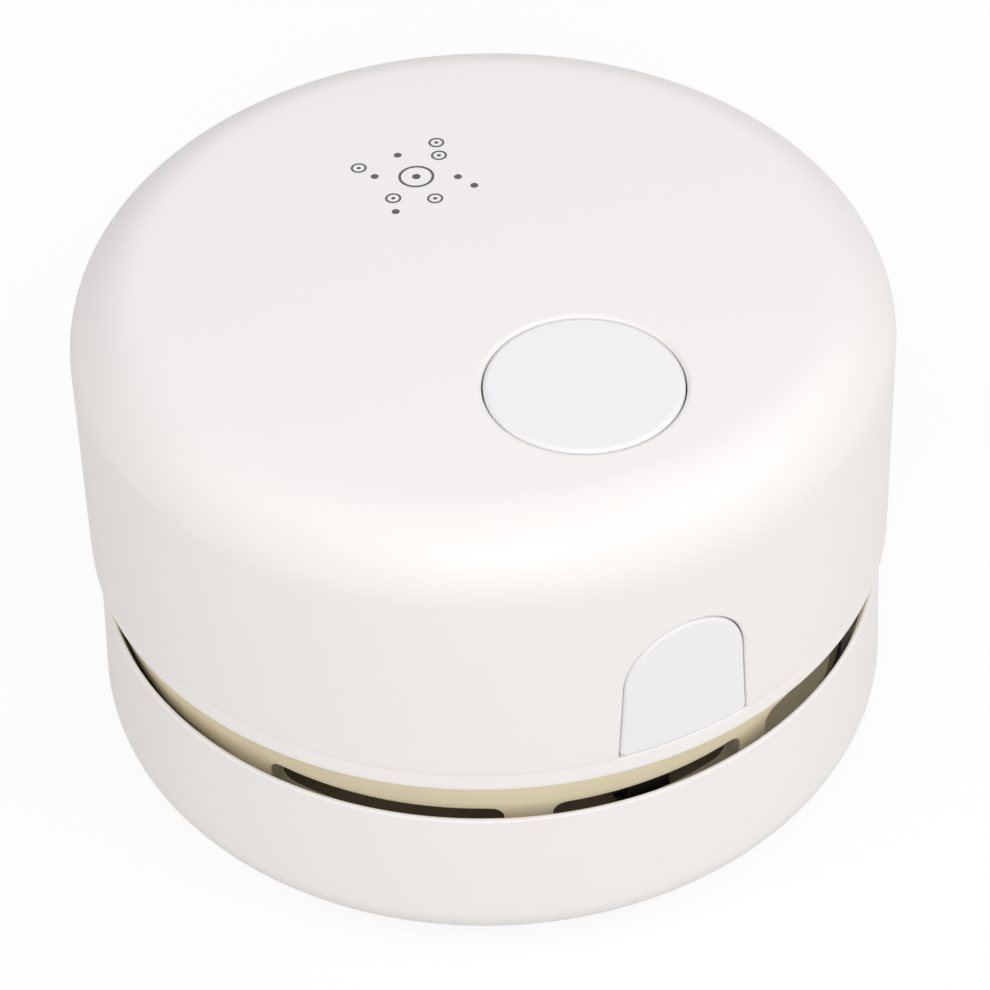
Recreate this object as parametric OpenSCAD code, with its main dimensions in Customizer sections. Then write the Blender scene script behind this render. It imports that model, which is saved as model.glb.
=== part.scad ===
// Desktop mini vacuum cleaner: a round motor head that lifts off a round dust bin.
// Millimetres. +Z is up and the table is z = 0. The release button faces -Y.
// Angles round the vertical axis are counted from the front (-Y) towards +X.

/* [Casing] */
// Outer radius of the casing at its parting line
body_r = 43; // [42:0.5:48]
// Height of the top shell, from the deck to the edge of its flat top
shell_h = 30.6; // [30:0.2:36]
// How far the shell's side leans in over its height
shell_draft = 0.3; // [0:0.1:0.8]
// Radius of the round shoulder
shoulder_r = 8.2; // [5:0.2:9]
// Rise of the crowned top above its edge
crown = 0.5; // [0.2:0.1:1]
// Wall thickness of the top shell
shell_wall = 2; // [1.6:0.1:2.2]
// Thickness of the deck, whose edge shows as a lip under the shell
deck_t = 1.8; // [1.4:0.1:2.2]
// Height of the open gap between the deck and the bin
gap_h = 4.8; // [4.4:0.2:7]

/* [Dust bin] */
// Height of the dust bin without its feet
bin_h = 18.4; // [17.6:0.2:22]
// Wall thickness of the bin
bin_wall = 1.5; // [1.2:0.1:1.7]
// Thickness of the bin's floor
floor_t = 1.7; // [1.5:0.1:2.2]
// How far the bin's rim leans in from its foot
rim_draft = 0.6; // [0.2:0.1:0.8]
// Radius of the bin's round lower edge
bin_edge_r = 4.2; // [2.5:0.1:5]
// Height of the seat ring's underside above the floor
seat_rise = 4.1; // [3.8:0.1:5]
// Thickness of the seat ring that the head stands on
seat_t = 1.2; // [1:0.1:1.6]
// Radius of a glide foot
foot_r = 3.2; // [2.5:0.1:4]
// Height of the glide feet
foot_h = 1.2; // [1:0.1:2]
// Distance of each foot from the axis
foot_ring_r = 33; // [30:0.5:36]

/* [Inlet and brush] */
// Radius of the suction inlet
inlet_r = 11; // [9:0.5:12]
// Height of the inlet's inner pipe above the floor
pipe_h = 4.6; // [3:0.2:6]
// Wall thickness of the inlet's inner pipe
pipe_wall = 1.4; // [1:0.1:1.8]
// Radius of the brush's middle
brush_r = 16.8; // [16.4:0.1:18]
// Width of the brush's backing
brush_w = 3.8; // [3.4:0.1:4.4]
// Clearance between the bristle tips and the table
brush_clear = 0.1; // [0.05:0.05:0.4]
// Thickness of one bristle, across its corners
bristle_d = 0.42; // [0.3:0.02:0.5]

/* [Air outlet] */
// How far the outlet ring stands back from the casing
ring_inset = 4; // [3.4:0.1:4.6]
// Wall thickness of the outlet ring
ring_wall = 1.6; // [1.4:0.1:2]
// Depth of the cheeks beside each slot, through the ring's wall
cheek_depth = 3; // [2:0.1:3.2]
// Height of the outlet slots
slot_h = 5.6; // [4:0.1:6]
// Distance of the slots' top edge below the bin's rim
slot_drop = 2.3; // [1.6:0.1:2.6]
// Corner radius of the slots
slot_corner = 1.3; // [0.6:0.1:2]
// Width of the air channel between the ring and the filter cup
plenum_w = 5.4; // [5.2:0.1:6]

/* [Fan] */
// Radius of the impeller
impeller_r = 29; // [24:0.5:30]
// Height of the impeller
impeller_h = 6; // [5:0.1:6.2]
// Thickness of the impeller's disc
disc_t = 1; // [0.8:0.1:1.4]
// Number of impeller blades
blades = 12; // [7:1:16]
// Thickness of an impeller blade
blade_t = 0.9; // [0.7:0.1:1.4]
// Free height between the impeller and the deck
fan_gap = 1.2; // [0.8:0.1:1.6]
// Radius of the round opening that feeds the fan
eye_r = 11; // [9:0.5:12]
// Wall thickness of the fan cover
cover_t = 1.2; // [1:0.1:1.5]

/* [Filter] */
// Height of the filter frame
filter_h = 3; // [2.6:0.1:3.4]
// Thickness of the filter's mesh
mesh_t = 0.3; // [0.2:0.05:0.5]
// Height of the filter frame's cross bars
bar_h = 0.8; // [0.6:0.1:1]
// Thickness of the sponge disc
sponge_t = 1.7; // [1.2:0.1:1.8]

/* [Motor] */
// Radius of the motor's can
motor_r = 12; // [11:0.1:12.4]
// Height of the motor's can
motor_h = 16; // [14:0.5:17]
// Thickness of the can's steel
can_t = 0.8; // [0.5:0.1:1]
// Radius of the motor's shaft
shaft_r = 1; // [0.8:0.1:1.2]
// Thickness of the rubber ring under the motor
damper_t = 1; // [0.6:0.1:1.6]
// Thickness of the motor clamp's steel
clamp_t = 1; // [0.6:0.1:1.2]

/* [Battery] */
// Radius of the battery cell
cell_r = 7; // [6:0.1:7.2]
// Free room between the battery cell's ends and the shell
cell_room = 1.3; // [1:0.1:3]

/* [Power button] */
// Radius of the power button's cap
button_r = 9.8; // [8:0.1:10.6]
// Distance of the power button from the axis
button_y = 22; // [20.6:0.1:22.2]
// Thickness of the power button's cap
cap_t = 1.8; // [1.4:0.1:2]
// Travel of the power button
button_travel = 1.5; // [1:0.1:1.8]
// Free gap round the power button
button_gap = 0.3; // [0.2:0.05:0.4]
// Side of the switch's square body
switch_w = 8.5; // [7.6:0.1:9]
// Height of the switch's body
switch_h = 8; // [7:0.1:9]

/* [Release button] */
// Width of the release button's opening at its foot
arch_w = 14.8; // [12:0.1:16]
// Width of the opening where its round top begins
arch_top_w = 13.7; // [11.6:0.1:14]
// Height of the opening above the deck
arch_h = 15.8; // [14:0.1:18]
// Free gap round the release button
arch_gap = 0.3; // [0.2:0.05:0.4]
// Travel of the release button
release_travel = 1.6; // [1.2:0.1:1.8]
// Width of the release button's latch arm
arm_w = 5; // [4:0.1:6]
// Thickness of the latch arm
arm_t = 1.4; // [1.2:0.1:1.6]

/* [Charging] */
// Thickness of the circuit boards
board_t = 1.2; // [0.8:0.1:1.6]
// Width of the charging board
board_w = 24; // [23:0.5:25]
// Distance of the charging board's back edge from the outside of the casing
board_back = 5.5; // [5:0.1:6.5]
// Width of the charging socket's shell
socket_w = 8.9; // [8.6:0.05:9.2]
// Height of the charging socket's shell
socket_h = 3.2; // [3:0.05:3.4]
// Radius of the charging light
light_r = 1; // [0.7:0.05:1.2]

/* [Springs] */
// Outer radius of the power button's spring
button_spring_r = 3.8; // [3.4:0.1:4]
// Outer radius of the release button's spring
release_spring_r = 2.2; // [1.9:0.1:2.4]
// Wire thickness of the springs
wire_d = 0.5; // [0.4:0.05:0.6]

/* [Hidden] */
$fn = 64;

// ---- Clearances and small sizes
slide_gap = 0.2;          // between parts that slide or drop into each other
run_gap = 0.04;           // between the shaft and its bushes
cut = 1;                  // how far a cutting shape reaches past what it cuts
screw_r = 0.9;            // shank of the self-tapping screws
screw_hole_r = 1.1;       // free hole for a screw
head_r = 1.9;             // head of a screw
head_h = 1.3;             // height of a pan head
sink_h = 1;               // height of a countersunk head
boss_r = 2.4;             // plastic post that takes a screw
post_r = 2.2;             // posts that carry the filter cup
spigot_r = 1.3;           // end of such a post, staked in the deck
arc_steps = 24;           // segments in a quarter circle of an outline

// ---- Heights, from the table upwards
floor_z = foot_h;
floor_top = floor_z + floor_t;
rim_z = floor_z + bin_h;
deck_z = rim_z + gap_h;
deck_top = deck_z + deck_t;
edge_z = deck_top + shell_h;
seat_z = floor_top + seat_rise;
seat_top = seat_z + seat_t;
seal_t = 0.8;
flange_z = seat_top + seal_t;
flange_top = flange_z + cover_t;
slot_top = rim_z - slot_drop;
slot_z = slot_top - slot_h;

// ---- Heights of the fan, from the deck downwards
disc_top = deck_z - fan_gap;
disc_z = disc_top - disc_t;
impeller_z = disc_top - impeller_h;
cover_top = impeller_z - 0.8;
cover_under = cover_top - cover_t;
filter_z = cover_under - filter_h;

// ---- Radii of the air path
ring_r = body_r - ring_inset;
ring_in = ring_r - ring_wall;
cup_r = ring_in - plenum_w;
cup_in = cup_r - 1.6;
filter_r = cup_in - slide_gap;
post_ring_r = ring_in - plenum_w / 2;
seal_out = cup_r + slide_gap;
seat_in = cup_in + 0.1;

// Outlet slots: each has its first and last angle. The back has the same three, turned half way round.
front_slots = [[-63, -25.5], [-18, 14], [20, 41]];
cheek_deg = 3.6;
seam_angles = [-97.5, 82.5];             // where the outlet ring's two halves meet
seam_deg = 0.12;                         // half the angle of the fine joint there
post_angles = [60, 100, 240, 280];
boss_angles = [-90, 40, 140];
foot_angles = [45, 135, 225, 315];

// ---- Places inside the head
shell_in = body_r - shell_wall;
lip_w = 1;                               // locating lip under the deck, inside the outlet ring
boss_ring_r = ring_in - slide_gap - lip_w - head_r - 0.3;
motor_z = deck_top + damper_t;
can_top = motor_z + motor_h;
cap_rim = 1.8;
end_cap_top = can_top + cap_rim;
bush_r = 3;
seat_wall = 1.4;
cell_x = -(motor_r + slide_gap + seat_wall + 0.8 + cell_r);
cell_z = deck_top + 0.8 + cell_r;
cell_y = 4;                              // the cell lies this far behind the middle
cell_end = sqrt(pow(shell_in, 2) - pow(cell_r - cell_x, 2)) - cell_y - cell_room;
cell_front = cell_y - cell_end;
cell_back = cell_y + cell_end;
tab_t = 0.3;                             // thickness of the tabs on the cell's ends
clamp_y = motor_r + slide_gap + seat_wall + 1;
clamp_pad_h = 4;
clamp_pad_y = clamp_y + clamp_t + 2.3;

// Charging board, behind the motor
board_z = deck_top + 2.8;
board_top = board_z + board_t;
board_y1 = body_r - board_back;
board_y0 = clamp_pad_y + 3.1;
board_l = board_y1 - board_y0;
board_post_r = 1.8;
board_post_x = board_w / 2 - 2.5;
socket_l = 7.4;
socket_y1 = body_r - 0.6;
socket_z = board_top;
light_x = 8.5;
light_z = board_top + 0.7 + light_r;

// Power switch, hung from the button downwards
cap_under = edge_z + 0.15 - cap_t;
flange_r = button_r + button_gap + 1;
collar_wall = 1.8;
collar_z = edge_z - shell_wall - 2.6;
button_foot = collar_z - slide_gap - 1;
plunger_w = 3;
plunger_l = 7.6;
plunger_top = collar_z - 4;
switch_top = plunger_top - 3;
switch_board_top = switch_top - switch_h;
switch_board_z = switch_board_top - board_t;
switch_board_w = 28;
switch_board_y = [-button_y - 6.6, -button_y + 5];
switch_post_x = switch_board_w / 2 - 2.4;
stem_r = 2.2;

// Latch arm of the release button
arm_y = -(ring_r - cheek_depth - 0.6);   // outer face of the arm
arm_in = arm_y + arm_t + release_travel + slide_gap;    // how far in the arm's slots reach
arm_top = deck_top + 8;
hook_z = seat_z - 1.8;
hook_reach = 1;
latch_gap = 0.3;                         // the modelled hook stops this far short of its catch
bracket_z = deck_top + 0.3;
peg_r = 0.9;
peg_z = bracket_z + 1.3;
rail_y = -shell_in + 3.8;                // front end of the bracket's rails
stop_y = arm_y + arm_t + 6.6;            // face of the wall behind the release spring
release_spring_z = deck_top + release_spring_r + 2.1;

// ---- Small functions
function ring_point(r, a, z) = [r * sin(a), -r * cos(a), z];
function arc(c, r, a0, a1, n) = [for (i = [0:n]) let (a = a0 + (a1 - a0) * i / n) c + r * [cos(a), sin(a)]];
function unit(v) = v / norm(v);

// Radius of the bin's outside at height z, above its round lower edge
function bin_r(z) = body_r - rim_draft * (z - floor_z - bin_edge_r) / (bin_h - bin_edge_r);

// Half section of the top shell, taken inwards by inset: side, round shoulder and crowned top
function shell_outline(inset) =
    let (r = body_r - shell_draft - inset, f = shoulder_r - inset, c = r - f, z = edge_z - inset,
         foot = inset > 0 ? deck_top - cut : deck_top, end_deg = 90 - atan(2 * crown / c))
    concat([[0, foot], [body_r - inset, foot]],
           arc([c, z - f], f, 0, end_deg, arc_steps),
           [for (i = [7:-1:0]) [c * i / 8, z + crown * (1 - i * i / 64)]]);

// Outline of the release button's opening, grown by g: leaning sides and a round top
function arch_outline(g) =
    let (r = arch_top_w / 2, spring = deck_top + arch_h - r)
    concat([[arch_w / 2 + g, deck_top - cut]],
           arc([0, spring], r + g, 0, 180, 2 * arc_steps),
           [[-arch_w / 2 - g, deck_top - cut]]);

// ---- Routes swept with a round section
function catmull(a, b, c, d, t) =
    (2 * b + (c - a) * t + (2 * a - 5 * b + 4 * c - d) * t * t + (3 * b - a - 3 * c + d) * t * t * t) / 2;
function smooth_route(p, n) = concat(
    [for (i = [0:len(p) - 2]) for (k = [0:n - 1])
        catmull(p[max(i - 1, 0)], p[i], p[i + 1], p[min(i + 2, len(p) - 1)], k / n)],
    [p[len(p) - 1]]);
function tangent(p, i) = unit(p[min(i + 1, len(p) - 1)] - p[max(i - 1, 0)]);
function square_to(v, t) = unit(v - (v * t) * t);
function side_vectors(p, i, last) =
    i >= len(p) ? [] : let (s = square_to(last, tangent(p, i))) concat([s], side_vectors(p, i + 1, s));
function first_side(t) = square_to(abs(t[2]) < 0.9 ? [0, 0, 1] : [1, 0, 0], t);

// A tube of radius r along the points p, closed with flat ends
module tube(p, r, sides) {
    s = side_vectors(p, 0, first_side(tangent(p, 0)));
    rings = len(p);
    points = [for (i = [0:rings - 1]) let (t = tangent(p, i), u = s[i], v = cross(t, u))
        for (k = [0:sides - 1]) p[i] + r * (cos(360 * k / sides) * u + sin(360 * k / sides) * v)];
    walls = [for (i = [0:rings - 2]) for (k = [0:sides - 1])
        let (a = i * sides + k, b = i * sides + (k + 1) % sides)
            each [[a, a + sides, b], [b, a + sides, b + sides]]];
    ends = [for (k = [1:sides - 2]) each
        [[0, k, k + 1], [(rings - 1) * sides, (rings - 1) * sides + k + 1, (rings - 1) * sides + k]]];
    polyhedron(points = points, faces = concat(walls, ends));
}

// A coil spring standing on z = 0, with its outer radius, height and turns
module coil(r_out, h, turns) {
    steps = 12;
    mid = r_out - wire_d / 2;
    rise = h - wire_d;
    route = [for (i = [0:turns * steps]) let (a = 360 * i / steps)
        [mid * cos(a), mid * sin(a), wire_d / 2 + rise * i / (turns * steps)]];
    echo(str("least gap between the spring's turns: ", rise / turns - wire_d, " mm"));
    tube(route, wire_d / 2, 6);
}

// ---- Shapes that repeat
module hoop(r_out, r_in, z, h) translate([0, 0, z]) difference() {
    cylinder(r = r_out, h = h);
    translate([0, 0, -cut]) cylinder(r = r_in, h = h + 2 * cut);
}

// Part of a ring between two angles
module hoop_part(r_in, r_out, z, h, a0, a1)
    rotate([0, 0, a0 - 90]) rotate_extrude(angle = a1 - a0) translate([r_in, z]) square([r_out - r_in, h]);

module block(x0, x1, y0, y1, z0, z1) translate([x0, y0, z0]) cube([x1 - x0, y1 - y0, z1 - z0]);

// A box that is the same to both sides of the middle plane
module middle_block(w, y0, y1, z0, z1) block(-w / 2, w / 2, y0, y1, z0, z1);

module post(x, y, z0, z1, r) translate([x, y, z0]) cylinder(r = r, h = z1 - z0);

// A pan-head screw with a cross recess: its head sits on z = 0 and its shank points down
module pan_screw(l) difference() {
    union() {
        cylinder(r = head_r, h = head_h);
        translate([0, 0, -l]) cylinder(r = screw_r, h = l);
    }
    for (a = [0, 90]) rotate([0, 0, a]) middle_block(0.5, -1.1, 1.1, head_h - 0.7, head_h + cut);
}

// A countersunk screw whose flat face is at z = 0 and faces down, its shank points up
module sunk_screw(l) difference() {
    union() {
        cylinder(r1 = head_r, r2 = screw_r, h = sink_h);
        cylinder(r = screw_r, h = l);
    }
    for (a = [0, 90]) rotate([0, 0, a]) middle_block(0.5, -1.1, 1.1, -cut, 0.6);
}

// Outline of an outlet slot with round corners, of half the given width
module slot_outline(half) {
    x = half - slot_corner;
    y = slot_h - slot_corner;
    polygon([for (c = [[x, y, 0], [-x, y, 90], [-x, slot_corner, 180], [x, slot_corner, 270]])
        each arc([c[0], c[1]], slot_corner, c[2], c[2] + 90, 4)]);
}

// Cuts one outlet slot straight out through the ring and its thick frame
module slot_cut(a0, a1) {
    half_deg = (a1 - a0) / 2;
    rotate([0, 0, (a0 + a1) / 2]) translate([0, cheek_depth + cut - ring_r * cos(half_deg), slot_z])
        rotate([90, 0, 0]) linear_extrude(height = ring_r) slot_outline(ring_r * sin(half_deg));
}

module shell_solid(inset) rotate_extrude() polygon(shell_outline(inset));

// The arch pushed from the middle of the head out through the front
module arch_solid(g) translate([0, -shell_in + 8, 0]) rotate([90, 0, 0])
    linear_extrude(height = body_r) polygon(arch_outline(g));

// ==== Dust bin

// Round bin with a rounded lower edge, a lead-in rim and ribs that carry and centre the seat ring
module dust_bin() color("whitesmoke") {
    inner_edge = bin_edge_r - bin_wall;
    low_r = body_r - bin_wall;
    lead_z = rim_z - 3;
    difference() {
        rotate_extrude() polygon(concat(
            [[0, floor_z]],
            arc([body_r - bin_edge_r, floor_z + bin_edge_r], bin_edge_r, -90, 0, 12),
            [[bin_r(rim_z), rim_z - 0.25], [bin_r(rim_z) - 0.2, rim_z], [bin_r(rim_z) - 0.35, rim_z],
             [bin_r(lead_z) - bin_wall, lead_z]],
            arc([low_r - inner_edge, floor_top + inner_edge], inner_edge, 0, -90, 8),
            [[0, floor_top]]));
        translate([0, 0, floor_z - cut]) cylinder(r = nozzle_core_r + slide_gap, h = floor_t + 2 * cut);
        translate([0, 0, floor_z - cut]) cylinder(r = nozzle_r + slide_gap, h = nozzle_t + cut);
    }
    rib_in = ring_r - 0.8;
    rib_out = bin_r(seat_z) - bin_wall + 0.6;
    for (i = [0:7]) rotate([0, 0, 22.5 + 45 * i])
        middle_block(1.2, -rib_out, -rib_in, floor_top - 0.2, seat_z);
}

// Bonded on the bin's ribs: the head's seal closes on it, and the latch hooks through its window
module seat_ring() color("gainsboro") {
    wall_r = bin_r(seat_z) - bin_wall - slide_gap;
    difference() {
        hoop(wall_r - 0.2, seat_in, seat_z, seat_t);
        middle_block(arm_w + 2.2, arm_y - hook_reach - latch_gap, arm_in, seat_z - cut, seat_top + cut);
    }
    for (a = [50, 130, 230, 310]) rotate([0, 0, a])
        middle_block(2, -wall_r + 0.4, -ring_r - 0.25, seat_top - 0.2, flange_top + 2.4);
}

nozzle_t = 1;
nozzle_core_r = brush_r + brush_w / 2 + 1;
nozzle_r = nozzle_core_r + 4;
nozzle_top = floor_top + 0.5;
pipe_top = floor_top + pipe_h;

// Clipped in from below: flared suction inlet, groove for the brush and the pipe into the bin
module inlet_nozzle() color("tan") difference() {
    union() {
        post(0, 0, floor_z, floor_z + nozzle_t, nozzle_r);
        post(0, 0, floor_z, nozzle_top, nozzle_core_r);
        post(0, 0, floor_z, pipe_top, inlet_r + pipe_wall);
        for (a = [60, 180, 300])
            hoop_part(nozzle_core_r - 1, nozzle_core_r + 0.9, floor_top + 0.05, 0.8, a - 7, a + 7);
    }
    post(0, 0, floor_z - cut, pipe_top + cut, inlet_r);
    translate([0, 0, floor_z - 0.01]) cylinder(r1 = inlet_r + 1.2, r2 = inlet_r, h = 1.2);
    hoop(brush_r + brush_w / 2 + 0.1, brush_r - brush_w / 2 - 0.1, floor_z - cut, nozzle_t + cut);
}

bristle_rows = 4;
bristle_pitch = 1.12;
backing_t = 0.8;
backing_z = floor_z + nozzle_t - backing_t;

// Rings of bristles set in a backing, all of one length
module brush_ring() color("dimgray") union() {
    hoop(brush_r + brush_w / 2, brush_r - brush_w / 2, backing_z, backing_t);
    rows = [for (i = [0:bristle_rows - 1]) brush_r + (i - (bristle_rows - 1) / 2) * 0.85];
    roots = [for (r = rows) let (n = floor(2 * PI * r / bristle_pitch))
        for (k = [0:n - 1]) [r, 360 * k / n]];
    top = backing_z + 0.1;
    points = [for (s = roots) for (z = [brush_clear, top]) for (k = [0:2])
        let (lean = z < backing_z ? 0.12 * (s[0] - brush_r) / brush_w : 0)
        ring_point(s[0] + lean, s[1], z) + bristle_d / 2 * [cos(120 * k + s[1]), sin(120 * k + s[1]), 0]];
    faces = [for (i = [0:len(roots) - 1]) let (a = 6 * i) each concat(
        [[a, a + 1, a + 2], [a + 3, a + 5, a + 4]],
        [for (k = [0:2]) let (b = (k + 1) % 3)
            each [[a + k, a + 3 + k, a + b], [a + b, a + 3 + k, a + 3 + b]]])];
    polyhedron(points = points, faces = faces);
}

// Low-friction pads under the bin
module glide_feet() color("silver") for (a = foot_angles)
    translate(ring_point(foot_ring_r, a, 0)) union() {
        translate([0, 0, 0.3]) cylinder(r = foot_r, h = foot_h - 0.3);
        cylinder(r1 = foot_r - 0.3, r2 = foot_r, h = 0.3);
    }

// ==== Deck and air path

// The deck closes the fan chamber, carries everything in the head, and its edge is the lip
module chassis() color("whitesmoke") difference() {
    union() {
        rotate_extrude() polygon([[0, deck_z], [body_r - 0.3, deck_z], [body_r, deck_z + 0.3],
            [body_r, deck_top - 0.25], [body_r - 0.25, deck_top], [0, deck_top]]);
        hoop(shell_in - 0.15, shell_in - 1.5, deck_top - 0.2, 2.8);
        hoop(motor_r + slide_gap + seat_wall, motor_r + slide_gap, deck_top - 0.2, 5.2);
        hoop(ring_in - slide_gap, ring_in - slide_gap - lip_w, deck_z - 1.5, 1.7);
        for (y = [-clamp_pad_y, clamp_pad_y]) post(0, y, deck_top - 0.2, deck_top + clamp_pad_h, boss_r);
        for (x = [-switch_post_x, switch_post_x])
            post(x, -button_y - 2, deck_top - 0.2, switch_board_z, boss_r);
        for (x = [-board_post_x, board_post_x], y = [board_y0 + 2.4, board_y1 - 3])
            post(x, y, deck_top - 0.2, board_z, board_post_r);
        cell_cradles();
        latch_guide();
    }
    post(0, 0, deck_z - cut, deck_top + cut, bush_r + slide_gap);
    for (a = post_angles) translate(ring_point(post_ring_r, a, deck_z)) {
        translate([0, 0, -cut]) cylinder(r = spigot_r + 0.05, h = deck_t + 2 * cut);
        translate([0, 0, -2 * cut]) cylinder(r = post_r + 0.1, h = 2 * cut);
    }
    for (a = boss_angles)
        translate(ring_point(boss_ring_r, a, deck_z - cut)) cylinder(r = screw_hole_r, h = deck_t + 2 * cut);
    for (y = [-clamp_pad_y, clamp_pad_y]) post(0, y, deck_top + 0.4, deck_top + clamp_pad_h + cut, screw_r);
    for (x = [-switch_post_x, switch_post_x])
        post(x, -button_y - 2, switch_board_z - 6, switch_board_z + cut, screw_r);
    for (x = [-board_post_x, board_post_x])
        post(x, board_y0 + 2.4, deck_top + 0.2, board_z + cut, screw_r);
    // The latch arm's way through the deck and the locating rim, and the room behind the release button
    middle_block(arm_w + 1, arm_y - 0.6, arm_in, deck_z - 2, deck_top + cut);
    middle_block(arch_w + 4, -body_r + 1.6, rail_y - slide_gap, deck_top, deck_top + 4);
}

// Posts that hang from the deck, with a spigot staked in it, and take the cup's screws
module cover_posts() color("whitesmoke") for (a = post_angles) translate(ring_point(post_ring_r, a, flange_top))
    difference() {
        union() {
            cylinder(r = post_r, h = deck_z - flange_top);
            cylinder(r = spigot_r, h = deck_top - flange_top);
        }
        translate([0, 0, -cut]) cylinder(r = screw_r, h = 8 + cut);
    }

// Two snap cradles that hold the cell along Y
module cell_cradles() for (y = [cell_y - 14, cell_y + 14]) difference() {
    block(cell_x - cell_r - 1.6, cell_x + cell_r + 1.3, y - 1.5, y + 1.5, deck_top - 0.2, cell_z + 2.4);
    translate([cell_x, y + 2, cell_z]) rotate([90, 0, 0]) cylinder(r = cell_r + 0.1, h = 4);
}

// Rails beside the latch arm's bracket, and the wall with a peg that the release spring stands on
module latch_guide() {
    rail_x = arm_w / 2 + 1.1;
    for (s = [-1, 1]) block(s * (rail_x + 0.8) - 0.8, s * (rail_x + 0.8) + 0.8,
        rail_y, stop_y + 0.4, deck_top - 0.2, deck_top + 2.8);
    middle_block(2 * rail_x + 3.2, stop_y, stop_y + 1.6,
                 deck_top - 0.2, release_spring_z + release_spring_r - 0.2);
    translate([0, stop_y + 0.2, release_spring_z]) rotate([90, 0, 0])
        cylinder(r = release_spring_r - wire_d - 0.25, h = 1.6);
}

// Half of the recessed ring between the bin and the deck, with its air slots in a thicker frame
module outlet_half(turn) difference() {
    frame_end = front_slots[len(front_slots) - 1][1] + cheek_deg;
    union() {
        hoop_part(ring_in, ring_r, flange_top, deck_z - flange_top,
                  turn + seam_angles[0] + seam_deg, turn + seam_angles[1] - seam_deg);
        hoop_part(ring_r - cheek_depth, ring_in + 0.2, slot_z - 0.6, slot_h + 1.2,
                  turn + front_slots[0][0] - cheek_deg, turn + frame_end);
    }
    for (s = front_slots) slot_cut(turn + s[0], turn + s[1]);
}

module outlet_front() color("tan") outlet_half(0);
module outlet_back() color("tan") outlet_half(180);

// Closes the cup, with the fan's eye and its guard bars
module fan_plate() color("tan") {
    hoop(cup_r, eye_r, cover_under, cover_t);
    for (a = [0, 60, 120]) rotate([0, 0, a])
        middle_block(1.2, -eye_r - 0.2, eye_r + 0.2, cover_under, cover_top);
}

// Cup for the filter, and the floor of the air channel round it
module filter_cup() color("tan") difference() {
    rotate_extrude() polygon([[cup_in, flange_z], [ring_r, flange_z], [ring_r, flange_top],
        [cup_r, flange_top], [cup_r, cover_under], [cup_in, cover_under]]);
    for (a = post_angles) translate(ring_point(post_ring_r, a, flange_z - 0.01)) {
        cylinder(r1 = head_r + 0.1, r2 = screw_r + 0.1, h = sink_h + 0.01);
        cylinder(r = screw_hole_r, h = cover_t + cut);
    }
    middle_block(arm_w + 1, arm_y - 0.3, arm_in, flange_z - cut, flange_top + cut);
}

module cover_seal() color("dimgray") hoop(seal_out, seat_in, seat_top, seal_t);

module cover_screws() color("silver") for (a = post_angles)
    translate(ring_point(post_ring_r, a, flange_z)) sunk_screw(cover_t + 6);

// ==== Filter

module filter_frame() color("tan") {
    hoop(filter_r, filter_r - 1.8, filter_z, filter_h);
    for (a = [0, 60, 120]) rotate([0, 0, a])
        middle_block(1.6, -filter_r + 1, filter_r - 1, filter_z, filter_z + bar_h);
    hoop(6, 4.8, filter_z, bar_h);
}

// Perforated disc in place of the woven mesh
module filter_mesh() color("gray") {
    pitch = 3.4;
    limit = filter_r - 4.2;
    translate([0, 0, filter_z + bar_h]) linear_extrude(height = mesh_t) difference() {
        circle(r = filter_r - 1.8);
        for (i = [-8:8], j = [-9:9]) {
            x = i * pitch;
            y = (j + (abs(i) % 2) / 2) * pitch;
            if (norm([x, y]) < limit) translate([x, y]) circle(r = 1.15);
        }
    }
}

module filter_sponge() color("darkgray")
    post(0, 0, filter_z + bar_h + mesh_t, filter_z + bar_h + mesh_t + sponge_t, filter_r - 1.9);

// ==== Fan and motor

// One blade in plan: a band of even width on a spiral that leans back as it goes out
function blade_mid(t) = let (r = 10 + (impeller_r - 10.4) * t, a = -38 * pow(t, 1.2)) r * [cos(a), sin(a)];
function blade_side(t, s) =
    let (d = unit(blade_mid(t + 0.01) - blade_mid(t - 0.01))) blade_mid(t) + s * blade_t / 2 * [-d[1], d[0]];

module impeller() color("white") difference() {
    union() {
        post(0, 0, disc_z, disc_top, impeller_r);
        post(0, 0, impeller_z, disc_top, 4.4);
        for (i = [0:blades - 1]) rotate([0, 0, 360 * i / blades]) translate([0, 0, impeller_z])
            linear_extrude(height = impeller_h - disc_t / 2)
                polygon(concat([for (k = [0:10]) blade_side(0.02 + k * 0.096, 1)],
                               [for (k = [10:-1:0]) blade_side(0.02 + k * 0.096, -1)]));
    }
    post(0, 0, impeller_z - cut, disc_top + cut, shaft_r);
}

module motor_shaft() color("silver") post(0, 0, impeller_z, end_cap_top + 1.6, shaft_r);

// Three-pole core with its commutator
module motor_armature() color("peru") difference() {
    union() {
        post(0, 0, motor_z + 3.4, can_top - 5, motor_r - 3.4);
        post(0, 0, can_top - 5.2, can_top - 2, 2.6);
    }
    for (a = [30, 150, 270]) rotate([0, 0, a])
        block(2.6, motor_r, -0.8, 0.8, motor_z, can_top - 4.9);
    post(0, 0, motor_z, can_top, shaft_r);
}

module motor_magnets() color("dimgray") for (a = [30, 210])
    hoop_part(motor_r - 2.9, motor_r - can_t, motor_z + can_t, motor_h - can_t - 4, a, a + 120);

module motor_can() color("silver") difference() {
    post(0, 0, motor_z, can_top, motor_r);
    post(0, 0, motor_z + can_t, can_top + cut, motor_r - can_t);
    post(0, 0, motor_z - cut, motor_z + cut, bush_r);
}

module motor_end_cap() color("white") difference() {
    union() {
        post(0, 0, can_top, end_cap_top, motor_r);
        post(0, 0, can_top - 1.4, can_top, motor_r - can_t);
    }
    post(0, 0, can_top - 2, end_cap_top + cut, bush_r);
}

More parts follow.
